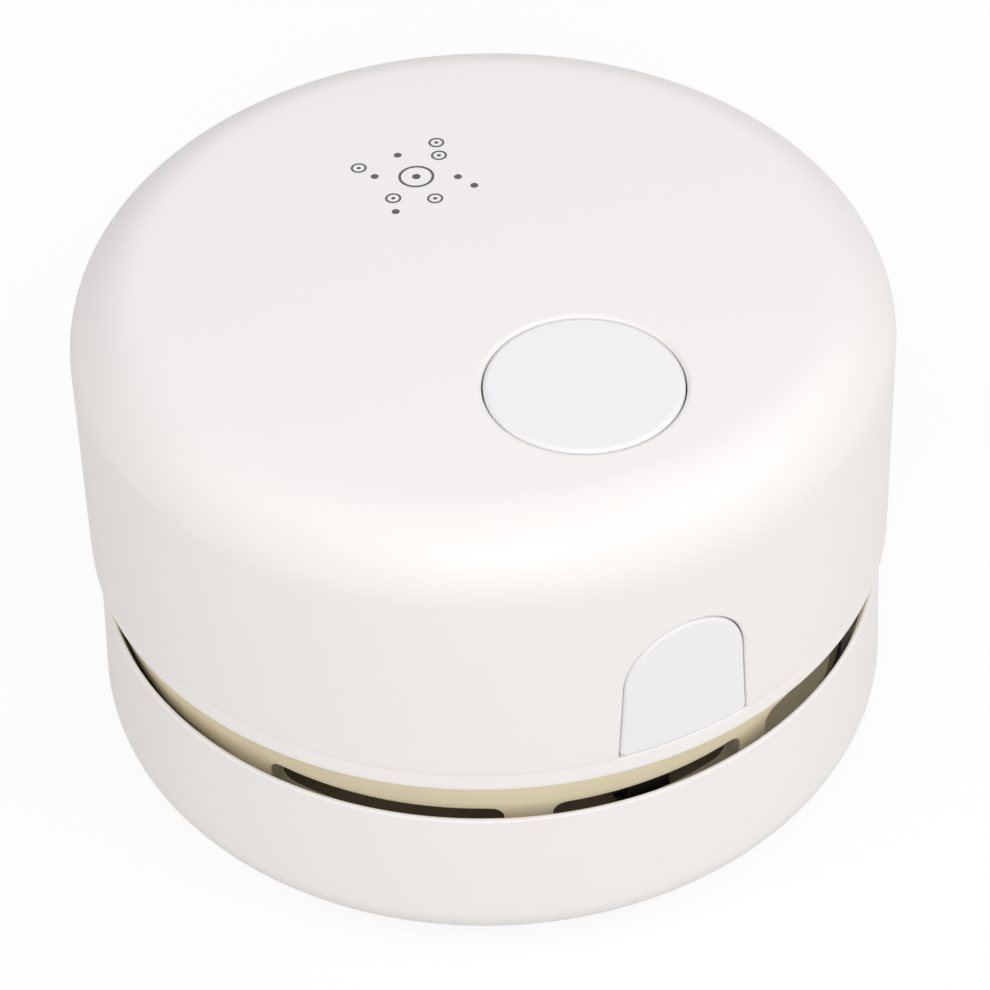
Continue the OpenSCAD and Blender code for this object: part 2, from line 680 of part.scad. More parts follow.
// Sintered bearings at both ends of the can
module motor_bushes() color("goldenrod") {
    hoop(bush_r, shaft_r + run_gap, motor_z - 1.4, can_t + 2.6);
    hoop(bush_r, shaft_r + run_gap, can_top - 1.4, cap_rim + 2);
}

terminal_x = 7.5;
terminal_t = 0.4;
terminal_top = end_cap_top + 3;

module motor_terminals() color("gold") for (x = [-terminal_x, terminal_x])
    block(x - 1.2, x + 1.2, -terminal_t / 2, terminal_t / 2, end_cap_top, terminal_top);

module motor_damper() color("dimgray") hoop(motor_r, bush_r + 2, deck_top, damper_t);

// Steel strap over the motor, with a foot on a post at each side
module motor_clamp() color("silver") difference() {
    foot_z = deck_top + clamp_pad_h;
    union() {
        middle_block(8, -clamp_y - clamp_t, clamp_y + clamp_t, end_cap_top, end_cap_top + clamp_t);
        for (s = [0, 180]) rotate([0, 0, s]) {
            middle_block(8, clamp_y, clamp_y + clamp_t, foot_z, end_cap_top + 0.1);
            middle_block(8, clamp_y, clamp_pad_y + 2.6, foot_z, foot_z + clamp_t);
        }
    }
    post(0, 0, end_cap_top - cut, end_cap_top + clamp_t + cut, bush_r + slide_gap);
    for (y = [-clamp_pad_y, clamp_pad_y]) post(0, y, foot_z - cut, foot_z + clamp_t + cut, screw_hole_r);
}

module clamp_screws() color("silver") for (y = [-clamp_pad_y, clamp_pad_y])
    translate([0, y, deck_top + clamp_pad_h + clamp_t]) pan_screw(clamp_t + 3);

// ==== Battery

// Cell on its side along Y, with a rolled groove and a raised positive end at the back
module battery_cell() color("steelblue") translate([cell_x, cell_y, cell_z]) rotate([90, 0, 0]) rotate_extrude()
    polygon([[0, -cell_end], [2.6, -cell_end], [2.6, 1 - cell_end], [cell_r - 0.4, 1 - cell_end],
             [cell_r, 1.4 - cell_end], [cell_r, 4.4 - cell_end], [cell_r - 0.5, 5 - cell_end],
             [cell_r, 5.6 - cell_end], [cell_r, cell_end - 0.4], [cell_r - 0.4, cell_end], [0, cell_end]]);

module battery_tabs() color("silver") for (y = [cell_front - tab_t, cell_back])
    block(cell_x - 2, cell_x + 2, y, y + tab_t, cell_z - 2, cell_z + 4.6);

module battery_tape() color("khaki") for (y = [cell_y - 6, cell_y + 6])
    block(cell_x - 2.5, cell_x + 2.5, y - 4, y + 4, deck_top, cell_z - cell_r);

// ==== Charging

module charge_board() color("seagreen") difference() {
    middle_block(board_w, board_y0, board_y1, board_z, board_top);
    for (x = [-board_post_x, board_post_x]) post(x, board_y0 + 2.4, board_z - cut, board_top + cut, screw_hole_r);
}

// A point on the charging board: across from its middle and along from its front edge, as shares of its size
function on_board(u, v, z) = [u * board_w / 2, board_y0 + v * board_l, z];

module board_chips() color("dimgray") {
    for (c = [[-0.16, 0.36, 5, 4, 1.5], [0.34, 0.27, 3, 2.8, 1.1], [0.34, 0.57, 2.2, 2, 0.9]])
        translate(on_board(c[0], c[1], board_top)) middle_block(c[2], -c[3] / 2, c[3] / 2, 0, c[4]);
    block(light_x - 0.8, light_x + 0.8, board_y1 - 2.4, board_y1 - 1.2, board_top, board_top + 0.7);
}

module board_screws() color("silver") for (x = [-board_post_x, board_post_x])
    translate([x, board_y0 + 2.4, board_top]) pan_screw(board_t + 2.4);

// A flat-oval pipe along Y: the socket's shell and the opening it stands in
module flat_oval(w, h, y0, y1, z_mid) translate([0, y1, z_mid]) rotate([90, 0, 0])
    linear_extrude(height = y1 - y0) union() {
        square([w - h, h], center = true);
        for (s = [-1, 1]) translate([s * (w - h) / 2, 0]) circle(r = h / 2);
    }

module charge_socket() color("silver") {
    mid = socket_z + socket_h / 2;
    difference() {
        flat_oval(socket_w, socket_h, socket_y1 - socket_l, socket_y1, mid);
        flat_oval(socket_w - 0.6, socket_h - 0.6, socket_y1 - socket_l + 1, socket_y1 + cut, mid);
    }
    middle_block(6.6, socket_y1 - socket_l + 0.8, socket_y1 - 0.8, mid - 0.35, mid + 0.35);
}

module charge_light() color("lightcyan") intersection() {
    translate([light_x, body_r + cut, light_z]) rotate([90, 0, 0])
        cylinder(r = light_r, h = body_r + cut - board_y1 + 2.6);
    shell_solid(0);
}

// ==== Power switch and button

module switch_board() color("seagreen") difference() {
    middle_block(switch_board_w, switch_board_y[0], switch_board_y[1], switch_board_z, switch_board_top);
    for (x = [-switch_post_x, switch_post_x])
        post(x, -button_y - 2, switch_board_z - cut, switch_board_top + cut, screw_hole_r);
}

module switch_board_screws() color("silver") for (x = [-switch_post_x, switch_post_x])
    translate([x, -button_y - 2, switch_board_top]) pan_screw(board_t + 4);

module switch_body() color("dimgray") difference() {
    middle_block(switch_w, -button_y - switch_w / 2, -button_y + switch_w / 2, switch_board_top, switch_top);
    middle_block(plunger_w + 0.3, -button_y - plunger_w / 2 - 0.15, -button_y + plunger_w / 2 + 0.15,
                 plunger_top - plunger_l - button_travel - 0.5, switch_top + cut);
}

// Slides in the switch's body under the button's stem
module switch_plunger() color("white")
    middle_block(plunger_w, -button_y - plunger_w / 2, -button_y + plunger_w / 2,
                 plunger_top - plunger_l, plunger_top);

// Cap cut from the shell's own surface, skirt with a stop flange, and a stem onto the plunger
module power_button() color("white") {
    intersection() {
        post(0, -button_y, edge_z - cap_t - 3, edge_z + crown + cut, button_r);
        difference() {
            shell_solid(0);
            shell_solid(cap_t);
        }
    }
    translate([0, -button_y, 0]) {
        hoop(button_r, button_r - 1.3, button_foot, cap_under + 0.6 - button_foot);
        hoop(flange_r, button_r - 1.3, button_foot, 1);
        post(0, 0, plunger_top, cap_under + 0.6, stem_r);
    }
}

module button_spring() color("silver") translate([0, -button_y, switch_top])
    coil(button_spring_r, edge_z - cap_t - switch_top, 5.5);

// ==== Release button

// Arch plate in the shell's side, a lip behind the shell, and the bracket that carries the latch arm
module release_button() color("white") {
    intersection() {
        difference() {
            shell_solid(0);
            post(0, 0, deck_top - cut, edge_z, body_r - 1.9);
        }
        arch_solid(-arch_gap);
        middle_block(arch_w + 2, -body_r - cut, 0, deck_top + 0.25, edge_z);
    }
    intersection() {
        difference() {
            post(0, 0, deck_top + 0.3, edge_z, shell_in - 0.25);
            post(0, 0, deck_top, edge_z + cut, shell_in - 1.5);
        }
        arch_solid(1);
    }
    intersection() {
        post(0, 0, deck_top, edge_z, body_r - 1.5);
        arch_solid(-2);
        middle_block(arch_w, -body_r, -shell_in + 1, bracket_z, deck_top + arch_h - 2);
    }
    middle_block(arm_w + 1.8, -shell_in + 0.6, arm_y, bracket_z, arm_top);
    translate([0, arm_y + arm_t - 0.2, peg_z]) rotate([90, 0, 0]) cylinder(r = peg_r, h = arm_t);
}

// Dark blade staked to the release button: the spring pushes it outwards, and its hook catches the seat ring
module latch_arm() color("dimgray") difference() {
    union() {
        middle_block(arm_w, arm_y, arm_y + arm_t, hook_z, arm_top);
        middle_block(arm_w, arm_y - hook_reach, arm_y + 0.2, hook_z, hook_z + 1.6);
    }
    translate([0, arm_y + arm_t + cut, peg_z]) rotate([90, 0, 0]) cylinder(r = peg_r + 0.05, h = arm_t + 2 * cut);
}

module release_spring() color("silver") translate([0, stop_y, release_spring_z]) rotate([90, 0, 0])
    coil(release_spring_r, stop_y - arm_y - arm_t, 5);

// ==== Leads

// Routes are points chosen by hand; each starts and ends square to what it is soldered to
lead_r = 0.6;
function lead_route(p) = concat([p[0]], smooth_route([for (i = [1:len(p) - 2]) p[i]], 3), [p[len(p) - 1]]);

// A point in the head's room, as shares of the shell's inner radius and of its height over the deck
function in_head(u, v, w) = [u * shell_in, v * shell_in, deck_top + w * shell_h];
// A point beside the battery cell: left of its axis, along, and over its axis
function by_cell(left, y, up) = [cell_x - left, y, cell_z + up];
by_boss = cell_x + boss_ring_r - boss_r - 2;     // the lead's way between the cell and the screw post beside it
function board_pad(u, v) = [on_board(u, v, board_top + 1.2), on_board(u, v, board_top)];

module lead_motor_plus() color("firebrick") tube(lead_route(concat([
    [terminal_x, terminal_t / 2, terminal_top - 1], [terminal_x, 2, terminal_top - 1],
    [terminal_x + 0.7, 0.58 * motor_r, terminal_top - 1.2], [terminal_x + 1.3, motor_r, terminal_top - 2.6],
    in_head(0.22, 0.427, 0.484), in_head(0.215, 0.573, 0.32), in_head(0.205, 0.673, 0.203)],
    board_pad(0.7, 0.448))), lead_r, 8);

module lead_motor_minus() color("dimgray") tube(lead_route(concat([
    [-terminal_x, terminal_t / 2, terminal_top - 1], [-terminal_x, 2, terminal_top - 1],
    [-terminal_x - 0.1, 0.58 * motor_r, terminal_top - 1.2], [-terminal_x + 0.3, motor_r, terminal_top - 2.6],
    in_head(-0.166, 0.427, 0.484), in_head(-0.122, 0.598, 0.333), in_head(-0.063, 0.746, 0.209)],
    board_pad(-0.183, 0.63))), lead_r, 8);

module lead_cell_plus() color("firebrick") tube(lead_route(concat([
    by_cell(0, cell_back + tab_t, 3.4), by_cell(0, cell_back + tab_t + 1.2, 3.4),
    by_cell(-2, cell_back + 3.1, 3), by_cell(-5.8, cell_back + 4.1, 1.4), in_head(-0.288, 0.785, 0.229)],
    board_pad(-0.867, 0.667))), lead_r, 8);

module lead_cell_minus() color("dimgray") tube(lead_route(concat([
    by_cell(0, cell_front - tab_t, 3.4), by_cell(0, cell_front - tab_t - 1.2, 3.4),
    by_cell(3, cell_front - 2.3, 5.2), by_cell(by_boss - 1.6, cell_front + 1.4, 8.6),
    by_cell(by_boss - 0.2, cell_y - 0.58 * cell_end, 8.4), by_cell(by_boss, cell_y - 0.08 * cell_end, 8.6),
    by_cell(by_boss - 1, cell_y + 0.41 * cell_end, 8.6), by_cell(by_boss - 5, cell_back - 4.3, 9),
    by_cell(-3.4, cell_back + 1.3, 6), in_head(-0.283, 0.717, 0.307), in_head(-0.22, 0.702, 0.216)],
    board_pad(-0.7, 0.461))), lead_r, 8);

module lead_switch_a() color("white") tube(lead_route(concat([
    [switch_board_w / 2 - 1.2, -button_y + 3.6, switch_board_top],
    [switch_board_w / 2 - 1.2, -button_y + 3.6, switch_board_top + 1.2],
    in_head(0.361, -0.376, 0.444), in_head(0.41, -0.244, 0.412), in_head(0.429, 0, 0.353),
    in_head(0.42, 0.268, 0.301), in_head(0.341, 0.488, 0.261), in_head(0.273, 0.644, 0.203)],
    board_pad(0.9, 0.388))), lead_r, 8);

module lead_switch_b() color("white") tube(lead_route(concat([
    [switch_board_w / 2 - 3.2, -button_y + 3.6, switch_board_top],
    [switch_board_w / 2 - 3.2, -button_y + 3.6, switch_board_top + 1.6],
    in_head(0.307, -0.366, 0.503), in_head(0.371, -0.22, 0.497), in_head(0.395, 0.024, 0.444),
    in_head(0.385, 0.268, 0.392), in_head(0.317, 0.512, 0.333), in_head(0.268, 0.722, 0.235)],
    board_pad(0.9, 0.582))), lead_r, 8);

// ==== Top shell

// One moulding: side, shoulder and top, with the button's collar and three screw posts
module top_shell() color("white") difference() {
    union() {
        difference() {
            shell_solid(0);
            shell_solid(shell_wall);
        }
        intersection() {
            shell_solid(0.5);
            union() {
                post(0, -button_y, collar_z, edge_z + crown, button_r + button_gap + collar_wall);
                for (a = boss_angles) rotate([0, 0, a]) {
                    translate([0, -boss_ring_r, deck_top]) cylinder(r = boss_r, h = shell_h);
                    middle_block(1.2, -body_r, -boss_ring_r - 1.6, deck_top + 3, edge_z);
                }
            }
        }
    }
    post(0, -button_y, collar_z - cut, edge_z + crown + cut, button_r + button_gap);
    for (a = boss_angles) translate(ring_point(boss_ring_r, a, deck_top - cut)) cylinder(r = screw_r, h = 9 + cut);
    arch_solid(0);
    flat_oval(socket_w + 0.6, socket_h + 0.6, shell_in - 2, body_r + cut, socket_z + socket_h / 2);
    translate([light_x, body_r + cut, light_z]) rotate([90, 0, 0]) cylinder(r = light_r + 0.05, h = 6);
}

module shell_screws() color("silver") for (a = boss_angles)
    translate(ring_point(boss_ring_r, a, deck_z)) rotate([180, 0, 0]) pan_screw(deck_t + 7);

dust_bin();
seat_ring();
inlet_nozzle();
brush_ring();
glide_feet();
chassis();
cover_posts();
outlet_front();
outlet_back();
fan_plate();
filter_cup();
cover_seal();
cover_screws();
filter_frame();
filter_mesh();
filter_sponge();
impeller();
motor_shaft();
motor_armature();
motor_magnets();
motor_can();
motor_end_cap();
motor_bushes();
motor_terminals();
motor_damper();
motor_clamp();
clamp_screws();
battery_cell();
battery_tabs();
battery_tape();
charge_board();
board_chips();
board_screws();
charge_socket();
charge_light();
switch_board();
switch_board_screws();
switch_body();
switch_plunger();
power_button();
button_spring();
release_button();
latch_arm();
release_spring();
lead_motor_plus();
lead_motor_minus();
lead_cell_plus();
lead_cell_minus();
lead_switch_a();
lead_switch_b();
top_shell();
shell_screws();
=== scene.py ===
"""Dresses a desktop mini vacuum cleaner: a round motor head that lifts off a round dust bin.

Lengths are in millimetres until a piece is made, which puts them in metres. +Z is up, the table is z = 0 and
the release button faces -Y. Turns are counted from the front (-Y) towards +X.
"""
import math

import bmesh
import bpy
import numpy as np
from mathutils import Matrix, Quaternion, Vector


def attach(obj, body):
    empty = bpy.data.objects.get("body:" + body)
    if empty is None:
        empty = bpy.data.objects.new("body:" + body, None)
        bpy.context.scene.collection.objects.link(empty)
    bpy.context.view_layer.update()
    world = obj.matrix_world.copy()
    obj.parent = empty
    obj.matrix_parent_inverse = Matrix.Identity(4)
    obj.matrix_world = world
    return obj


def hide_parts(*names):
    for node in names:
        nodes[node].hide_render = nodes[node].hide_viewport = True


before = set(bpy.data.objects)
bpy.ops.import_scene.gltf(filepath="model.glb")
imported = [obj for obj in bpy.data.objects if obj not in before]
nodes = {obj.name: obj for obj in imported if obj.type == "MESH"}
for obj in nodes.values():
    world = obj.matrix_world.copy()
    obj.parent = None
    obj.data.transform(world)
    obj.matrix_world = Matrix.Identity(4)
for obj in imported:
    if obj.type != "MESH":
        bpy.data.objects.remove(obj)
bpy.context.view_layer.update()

# ==== Dust bin
# The lower shell is one white moulding with a round foot. Its rim has a lead-in that centres the head, and eight
# ribs inside carry the seat ring. The plastic is smooth, with a grain too fine to see from a step away.
FLOOR_Z, FLOOR_TOP, RIM_Z = 1.2, 2.9, 19.0
BIN_R, RIM_R, BIN_WALL, FOOT_EDGE = 43.0, 42.4, 1.5, 4.2
PLATE_R, PLATE_T, CORE_R = 23.5, 1.0, 19.7
SEAT_Z = 7.0
RIM_EDGE = 0.32
RIB_COUNT, RIB_HALF, RIB_IN = 8, 0.6, 38.2


def arc(centre, radius, first, last, steps):
    """Points on a circle about centre, from the first to the last angle in degrees, counted from +R towards +Z."""
    a = np.radians(np.linspace(first, last, steps + 1))
    return np.stack([centre[0] + radius * np.cos(a), centre[1] + radius * np.sin(a)], 1)


def turned(profile, columns=240, centre=(0, 0), turns=None):
    """A profile of (radius, height) carried round the vertical through centre: row i of the grid is point i, and
    column j is its place after j equal steps of a whole turn, or at the given turns in degrees."""
    profile = np.asarray(profile, float)
    a = np.arange(columns) * 2 * np.pi / columns if turns is None else np.radians(turns)
    columns = len(a)
    return np.stack([centre[0] + profile[:, :1] * np.sin(a), centre[1] - profile[:, :1] * np.cos(a),
                     np.repeat(profile[:, 1:], columns, 1)], -1)


def cells(shape, closed=True, keep=None):
    """Four-cornered faces between the neighbours of a grid of rows and columns, whose columns close on themselves."""
    rows, columns = shape[:2]
    i, j = np.meshgrid(np.arange(rows - 1), np.arange(columns if closed else columns - 1), indexing="ij")
    k = (j + 1) % columns
    faces = np.stack([i * columns + j, i * columns + k, (i + 1) * columns + k, (i + 1) * columns + j], -1)
    return faces.reshape(-1, 4) if keep is None else faces[keep]


def brick(low, high):
    """The eight corners of a box and its six faces."""
    corners = np.array([[(low, high)[k][0], (low, high)[j][1], (low, high)[i][2]]
                        for i in (0, 1) for j in (0, 1) for k in (0, 1)], float)
    return corners, [[0, 2, 3, 1], [4, 5, 7, 6], [0, 1, 5, 4], [2, 6, 7, 3], [0, 4, 6, 2], [1, 3, 7, 5]]


def spun(points, degrees):
    """Points turned round the vertical axis, from the front towards +X."""
    a = np.radians(degrees)
    x, y, z = np.moveaxis(np.asarray(points, float), -1, 0)
    return np.stack([x * np.cos(a) - y * np.sin(a), x * np.sin(a) + y * np.cos(a), z], -1)


def piece(name, surfaces, material, body, stands_for=(), sharp=35, weld=0.002):
    """One mesh from surfaces, each a grid or list of points and its faces. Points closer than weld are joined, faces
    are turned outwards, and edges that bend more than sharp degrees stay crisp."""
    points, faces, start = [], [], 0
    for surface in surfaces:
        p = np.asarray(surface[0], float).reshape(-1, 3)
        f = surface[1] if len(surface) > 1 else cells(np.shape(surface[0]))
        faces += [[k + start for k in face] for face in (f.tolist() if hasattr(f, "tolist") else f)]
        points.append(p)
        start += len(p)
    mesh = bpy.data.meshes.new(name)
    mesh.from_pydata(np.concatenate(points) * 0.001, [], faces)
    work = bmesh.new()
    work.from_mesh(mesh)
    bmesh.ops.remove_doubles(work, verts=work.verts, dist=weld * 0.001)
    bmesh.ops.recalc_face_normals(work, faces=work.faces)
    work.to_mesh(mesh)
    work.free()
    mesh.shade_smooth()
    mesh.set_sharp_from_angle(angle=math.radians(sharp))
    obj = bpy.data.objects.new(name, mesh)
    bpy.context.scene.collection.objects.link(obj)
    mesh.materials.append(material)
    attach(obj, body)
    if stands_for:
        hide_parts(*stands_for)
    return obj


def shade(r, g, b):
    """A colour given as it looks on a screen, 0 to 255 a channel, as the linear values that shaders take."""
    c = np.array([r, g, b]) / 255
    return tuple(np.where(c <= 0.04045, c / 12.92, ((c + 0.055) / 1.055) ** 2.4)) + (1.0,)


def place(tree, kind, x, y, **settings):
    """A shader node of that kind at x, y in its tree; settings are its properties, and names with in_ its inputs."""
    made = tree.nodes.new(kind)
    made.location = (x, y)
    for key, value in settings.items():
        if key.startswith("in_"):
            made.inputs[key[3:].replace("_", " ")].default_value = value
        else:
            setattr(made, key, value)
    return made


# The moulded surface that all plastics share: a slow drift in colour and gloss, and a fine grain as bump.
moulded = bpy.data.node_groups.new("moulded surface", "ShaderNodeTree")
for label, kind, preset in (("Colour", "NodeSocketColor", (0.8, 0.8, 0.8, 1)), ("Drift", "NodeSocketFloat", 0.03),
                            ("Drift Scale", "NodeSocketFloat", 45), ("Roughness", "NodeSocketFloat", 0.4),
                            ("Gloss Drift", "NodeSocketFloat", 0.05), ("Grain Scale", "NodeSocketFloat", 3200),
                            ("Grain Depth", "NodeSocketFloat", 0.06)):
    moulded.interface.new_socket(name=label, in_out="INPUT", socket_type=kind).default_value = preset
for label, kind in (("Colour", "NodeSocketColor"), ("Roughness", "NodeSocketFloat"), ("Normal", "NodeSocketVector")):
    moulded.interface.new_socket(name=label, in_out="OUTPUT", socket_type=kind)
entry, leave = place(moulded, "NodeGroupInput", -900, 0), place(moulded, "NodeGroupOutput", 500, 0)
spot = place(moulded, "ShaderNodeTexCoord", -900, -300)
drift = place(moulded, "ShaderNodeTexNoise", -650, 150, in_Detail=3)
grain = place(moulded, "ShaderNodeTexNoise", -650, -250, in_Detail=2)
darker = place(moulded, "ShaderNodeMath", -400, 250, operation="MULTIPLY_ADD")
centred = place(moulded, "ShaderNodeMath", -550, 320, operation="SUBTRACT")
centred.inputs[1].default_value = 0.5
darker.inputs[2].default_value = 1.0
tinted = place(moulded, "ShaderNodeVectorMath", -150, 250, operation="SCALE")
rougher = place(moulded, "ShaderNodeMath", -150, 50, operation="MULTIPLY_ADD")
bump = place(moulded, "ShaderNodeBump", 150, -150, in_Distance=0.00002)
for source, target in (
        (spot.outputs["Object"], drift.inputs["Vector"]), (spot.outputs["Object"], grain.inputs["Vector"]),
        (entry.outputs["Drift Scale"], drift.inputs["Scale"]), (entry.outputs["Grain Scale"], grain.inputs["Scale"]),
        (drift.outputs["Fac"], centred.inputs[0]), (centred.outputs[0], darker.inputs[0]),
        (entry.outputs["Drift"], darker.inputs[1]), (entry.outputs["Colour"], tinted.inputs[0]),
        (darker.outputs[0], tinted.inputs["Scale"]), (centred.outputs[0], rougher.inputs[0]),
        (entry.outputs["Gloss Drift"], rougher.inputs[1]), (entry.outputs["Roughness"], rougher.inputs[2]),
        (entry.outputs["Grain Depth"], bump.inputs["Strength"]), (grain.outputs["Fac"], bump.inputs["Height"]),
        (tinted.outputs[0], leave.inputs["Colour"]), (rougher.outputs[0], leave.inputs["Roughness"]),
        (bump.outputs["Normal"], leave.inputs["Normal"])):
    moulded.links.new(source, target)


def plastic(name, colour, roughness=0.4, drift=0.03, grain=0.06, grain_scale=3200, gloss_drift=0.05,
            metallic=0.0, coat=0.0, **sockets):
    """A moulded finish: the shared surface group into a plain shader, with any further shader values by name."""
    made = bpy.data.materials.new(name)
    made.use_nodes = True
    tree = made.node_tree
    shader = tree.nodes["Principled BSDF"]
    shader.inputs["Metallic"].default_value = metallic
    shader.inputs["Coat Weight"].default_value = coat
    for key, value in sockets.items():
        shader.inputs[key.replace("_", " ")].default_value = value
    surface = place(tree, "ShaderNodeGroup", -350, 200)
    surface.node_tree = moulded
    for key, value in (("Colour", colour), ("Drift", drift), ("Roughness", roughness), ("Gloss Drift", gloss_drift),
                       ("Grain Depth", grain), ("Grain Scale", grain_scale)):
        surface.inputs[key].default_value = value
    tree.links.new(surface.outputs["Colour"], shader.inputs["Base Color"])
    tree.links.new(surface.outputs["Roughness"], shader.inputs["Roughness"])
    tree.links.new(surface.outputs["Normal"], shader.inputs["Normal"])
    return made


white_abs = plastic("white casing", shade(240, 237, 237), roughness=0.46, drift=0.012, Specular_IOR_Level=0.42)

bin_profile = np.concatenate([
    [[CORE_R + 0.2, FLOOR_TOP], [CORE_R + 0.2, FLOOR_Z + PLATE_T], [PLATE_R + 0.4, FLOOR_Z + PLATE_T],
     [PLATE_R + 0.4, FLOOR_Z + 0.12], [PLATE_R + 0.52, FLOOR_Z]],
    [[BIN_R - FOOT_EDGE - 0.3, FLOOR_Z]],
    arc((BIN_R - FOOT_EDGE, FLOOR_Z + FOOT_EDGE), FOOT_EDGE, -90, 0, 16),
    np.stack([np.linspace(BIN_R, RIM_R, 9), np.linspace(FLOOR_Z + FOOT_EDGE, RIM_Z - 0.4, 9)], 1)[1:],
    arc((RIM_R - RIM_EDGE, RIM_Z - RIM_EDGE), RIM_EDGE, 0, 90, 6),
    [[RIM_R - 0.5, RIM_Z - 0.06], [RIM_R - 0.58, RIM_Z - 0.3], [RIM_R - BIN_WALL + 0.13, RIM_Z - 3],
     [RIM_R - BIN_WALL + 0.15, RIM_Z - 3.3]],
    [[BIN_R - BIN_WALL, FLOOR_TOP + FOOT_EDGE - BIN_WALL]],
    arc((BIN_R - FOOT_EDGE, FLOOR_TOP + FOOT_EDGE - BIN_WALL), FOOT_EDGE - BIN_WALL, 0, -90, 10),
    [[CORE_R + 0.5, FLOOR_TOP], [CORE_R + 0.2, FLOOR_TOP]]])
rib, rib_faces = brick((-RIB_HALF, -BIN_R + BIN_WALL - 0.4, FLOOR_TOP - 0.2), (RIB_HALF, -RIB_IN, SEAT_Z))
ribs = [(spun(rib, (i + 0.5) * 360 / RIB_COUNT), rib_faces) for i in range(RIB_COUNT)]
piece("bin_shell", [(turned(bin_profile),)] + ribs, white_abs, "bin", ["dust_bin"])

# ==== Top shell
# One white moulding over the motor: a side that leans in a little, a round shoulder and a top that crowns by half
# a millimetre. It is open for the two buttons at the front and for the charging socket and its light at the back.
SHELL_R, SHELL_DRAFT, SHELL_WALL = 43.0, 0.3, 2.0
DECK_TOP, SIDE_TOP, SHOULDER_R, SHOULDER_C = 26.2, 48.6, 8.2, 34.5
SHOULDER_END = 88.34
CROWN_R = SHOULDER_C + SHOULDER_R * math.cos(math.radians(SHOULDER_END))
CROWN_Z = SIDE_TOP + SHOULDER_R * math.sin(math.radians(SHOULDER_END))
CROWN_RISE = 0.5 / SHOULDER_C ** 2
COLUMNS, STEP = 240, 1.5
SHELL_EDGE, HOLE_EDGE, ARCH_EDGE = 0.18, 0.5, 0.3
BUTTON_Y, BUTTON_HOLE, COLLAR_R, COLLAR_Z = -22.0, 10.1, 11.9, 52.2
ARCH_FOOT, ARCH_HALF, ARCH_SPRING = 7.4, 6.85, 35.15


def side_r(z, inside=0.0):
    """Radius of the shell's side at height z: a straight lean, and a small round at its foot on the outside."""
    r = SHELL_R - SHELL_DRAFT * (z - DECK_TOP) / (SIDE_TOP - DECK_TOP) - inside
    low = np.clip(SHELL_EDGE - (z - DECK_TOP), 0, SHELL_EDGE)
    return r - (0 if inside >= SHELL_WALL else 1) * (SHELL_EDGE - np.sqrt(SHELL_EDGE ** 2 - low ** 2))


def crown(x, y):
    """Height of the crowned top: a shallow paraboloid that meets the shoulder at its own slope."""
    return CROWN_Z + CROWN_RISE * (CROWN_R ** 2 - x ** 2 - y ** 2)


def on_wall(x, z, depth, radius, turn):
    """Points x to the right of a window's middle and z high, depth below a round wall whose radius follows z; turn
    is where the window's middle faces. Depth is taken along the radius and x stays, so that the window's sides
    run straight in."""
    r = radius(z) - depth
    return spun(np.stack([x + 0 * r, -np.sqrt(np.maximum(r ** 2 - x ** 2, 0)), z + 0 * r], -1), turn)


def meets(outline, middle, spread, angles):
    """Where rays from the middle cross an outline. The angles are those of the plane squeezed by spread to a square,
    so that a long shape's corners get as many points as its sides."""
    dense = np.concatenate([a + (b - a) * np.linspace(0, 1, 60, endpoint=False)[:, None]
                            for a, b in zip(outline[:-1], outline[1:])] + [outline[-1:]])
    at = (dense - middle) / spread
    turn = np.arctan2(at[:, 1], at[:, 0])
    return np.stack([np.interp(angles, turn, dense[:, k], period=2 * np.pi) for k in (0, 1)], 1)


def rim_steps(edge, depth):
    """How far outside a hole's outline, and how deep, each row of its rounded rim lies: a flat strip, a quarter
    round of radius edge, and the wall."""
    a = np.radians(np.linspace(0, 90, 5))
    return np.concatenate([[[edge + 0.06, 0]], np.stack([edge * (1 - np.sin(a)), edge * (1 - np.cos(a))], 1),
                           [[0, edge + 0.06], [0, depth]]])


def window(columns, levels, turn, outline, radius, inner, depth, open_foot=False, step=STEP, edge=ARCH_EDGE):
    """The walls round an opening. Outside and inside, rows run from the grid's own border in to the opening's
    outline; a rounded rim and a straight wall join the two. outline(grow) is the opening's shape; columns and
    levels are the grid lines that frame it. Returns the surfaces, and for an open foot the two closing faces."""
    turns = np.arange(columns[0], columns[1] + 1) * step
    up, over = np.full(len(levels), turns[-1]), turns[::-1]
    az = np.concatenate([up, over[1:], np.full(len(levels) - 1, turns[0])] + ([] if open_foot else [turns[1:]]))
    z = np.concatenate([levels, np.full(len(over) - 1, levels[-1]), levels[::-1][1:]]
                       + ([] if open_foot else [np.full(len(turns) - 1, levels[0])]))
    skins = []
    shape = outline(0)
    middle = np.array([(shape[:, 0].max() + shape[:, 0].min()) / 2,
                       levels[0] if open_foot else (shape[:, 1].max() + shape[:, 1].min()) / 2])
    spread = np.array([np.ptp(shape[:, 0]) / 2, (levels[-1] - levels[0]) * (1 if open_foot else 0.5)])
    for inside, steps in ((0.0, rim_steps(edge, depth)), (inner, np.array([[0.0, depth]]))):
        r = radius(z) - inside
        border = np.stack([r * np.sin(np.radians(az - turn)), z], 1)
        angles = np.arctan2(*((border - middle) / spread).T[::-1])
        near = meets(outline(steps[0, 0]), middle, spread, angles)
        if open_foot:
            near[[0, -1], 1] = levels[0]
        rows = [on_wall(*(border + (near - border) * t).T, inside, radius, turn) for t in np.linspace(0, 1, 6)]
        for grow, deep in steps[1:]:
            ring = meets(outline(grow), middle, spread, angles)
            if open_foot:
                ring[[0, -1], 1] = levels[0]
            rows.append(on_wall(ring[:, 0], ring[:, 1], deep, radius, turn))
        skins.append(np.array(rows))
    surfaces = [(s, cells(s.shape, closed=False)) for s in skins]
    if open_foot:
        for end in (0, -1):
            loop = np.concatenate([skins[0][:, end], skins[1][::-1, end][1:]])
            surfaces.append((loop, [list(range(len(loop)))]))
    return surfaces


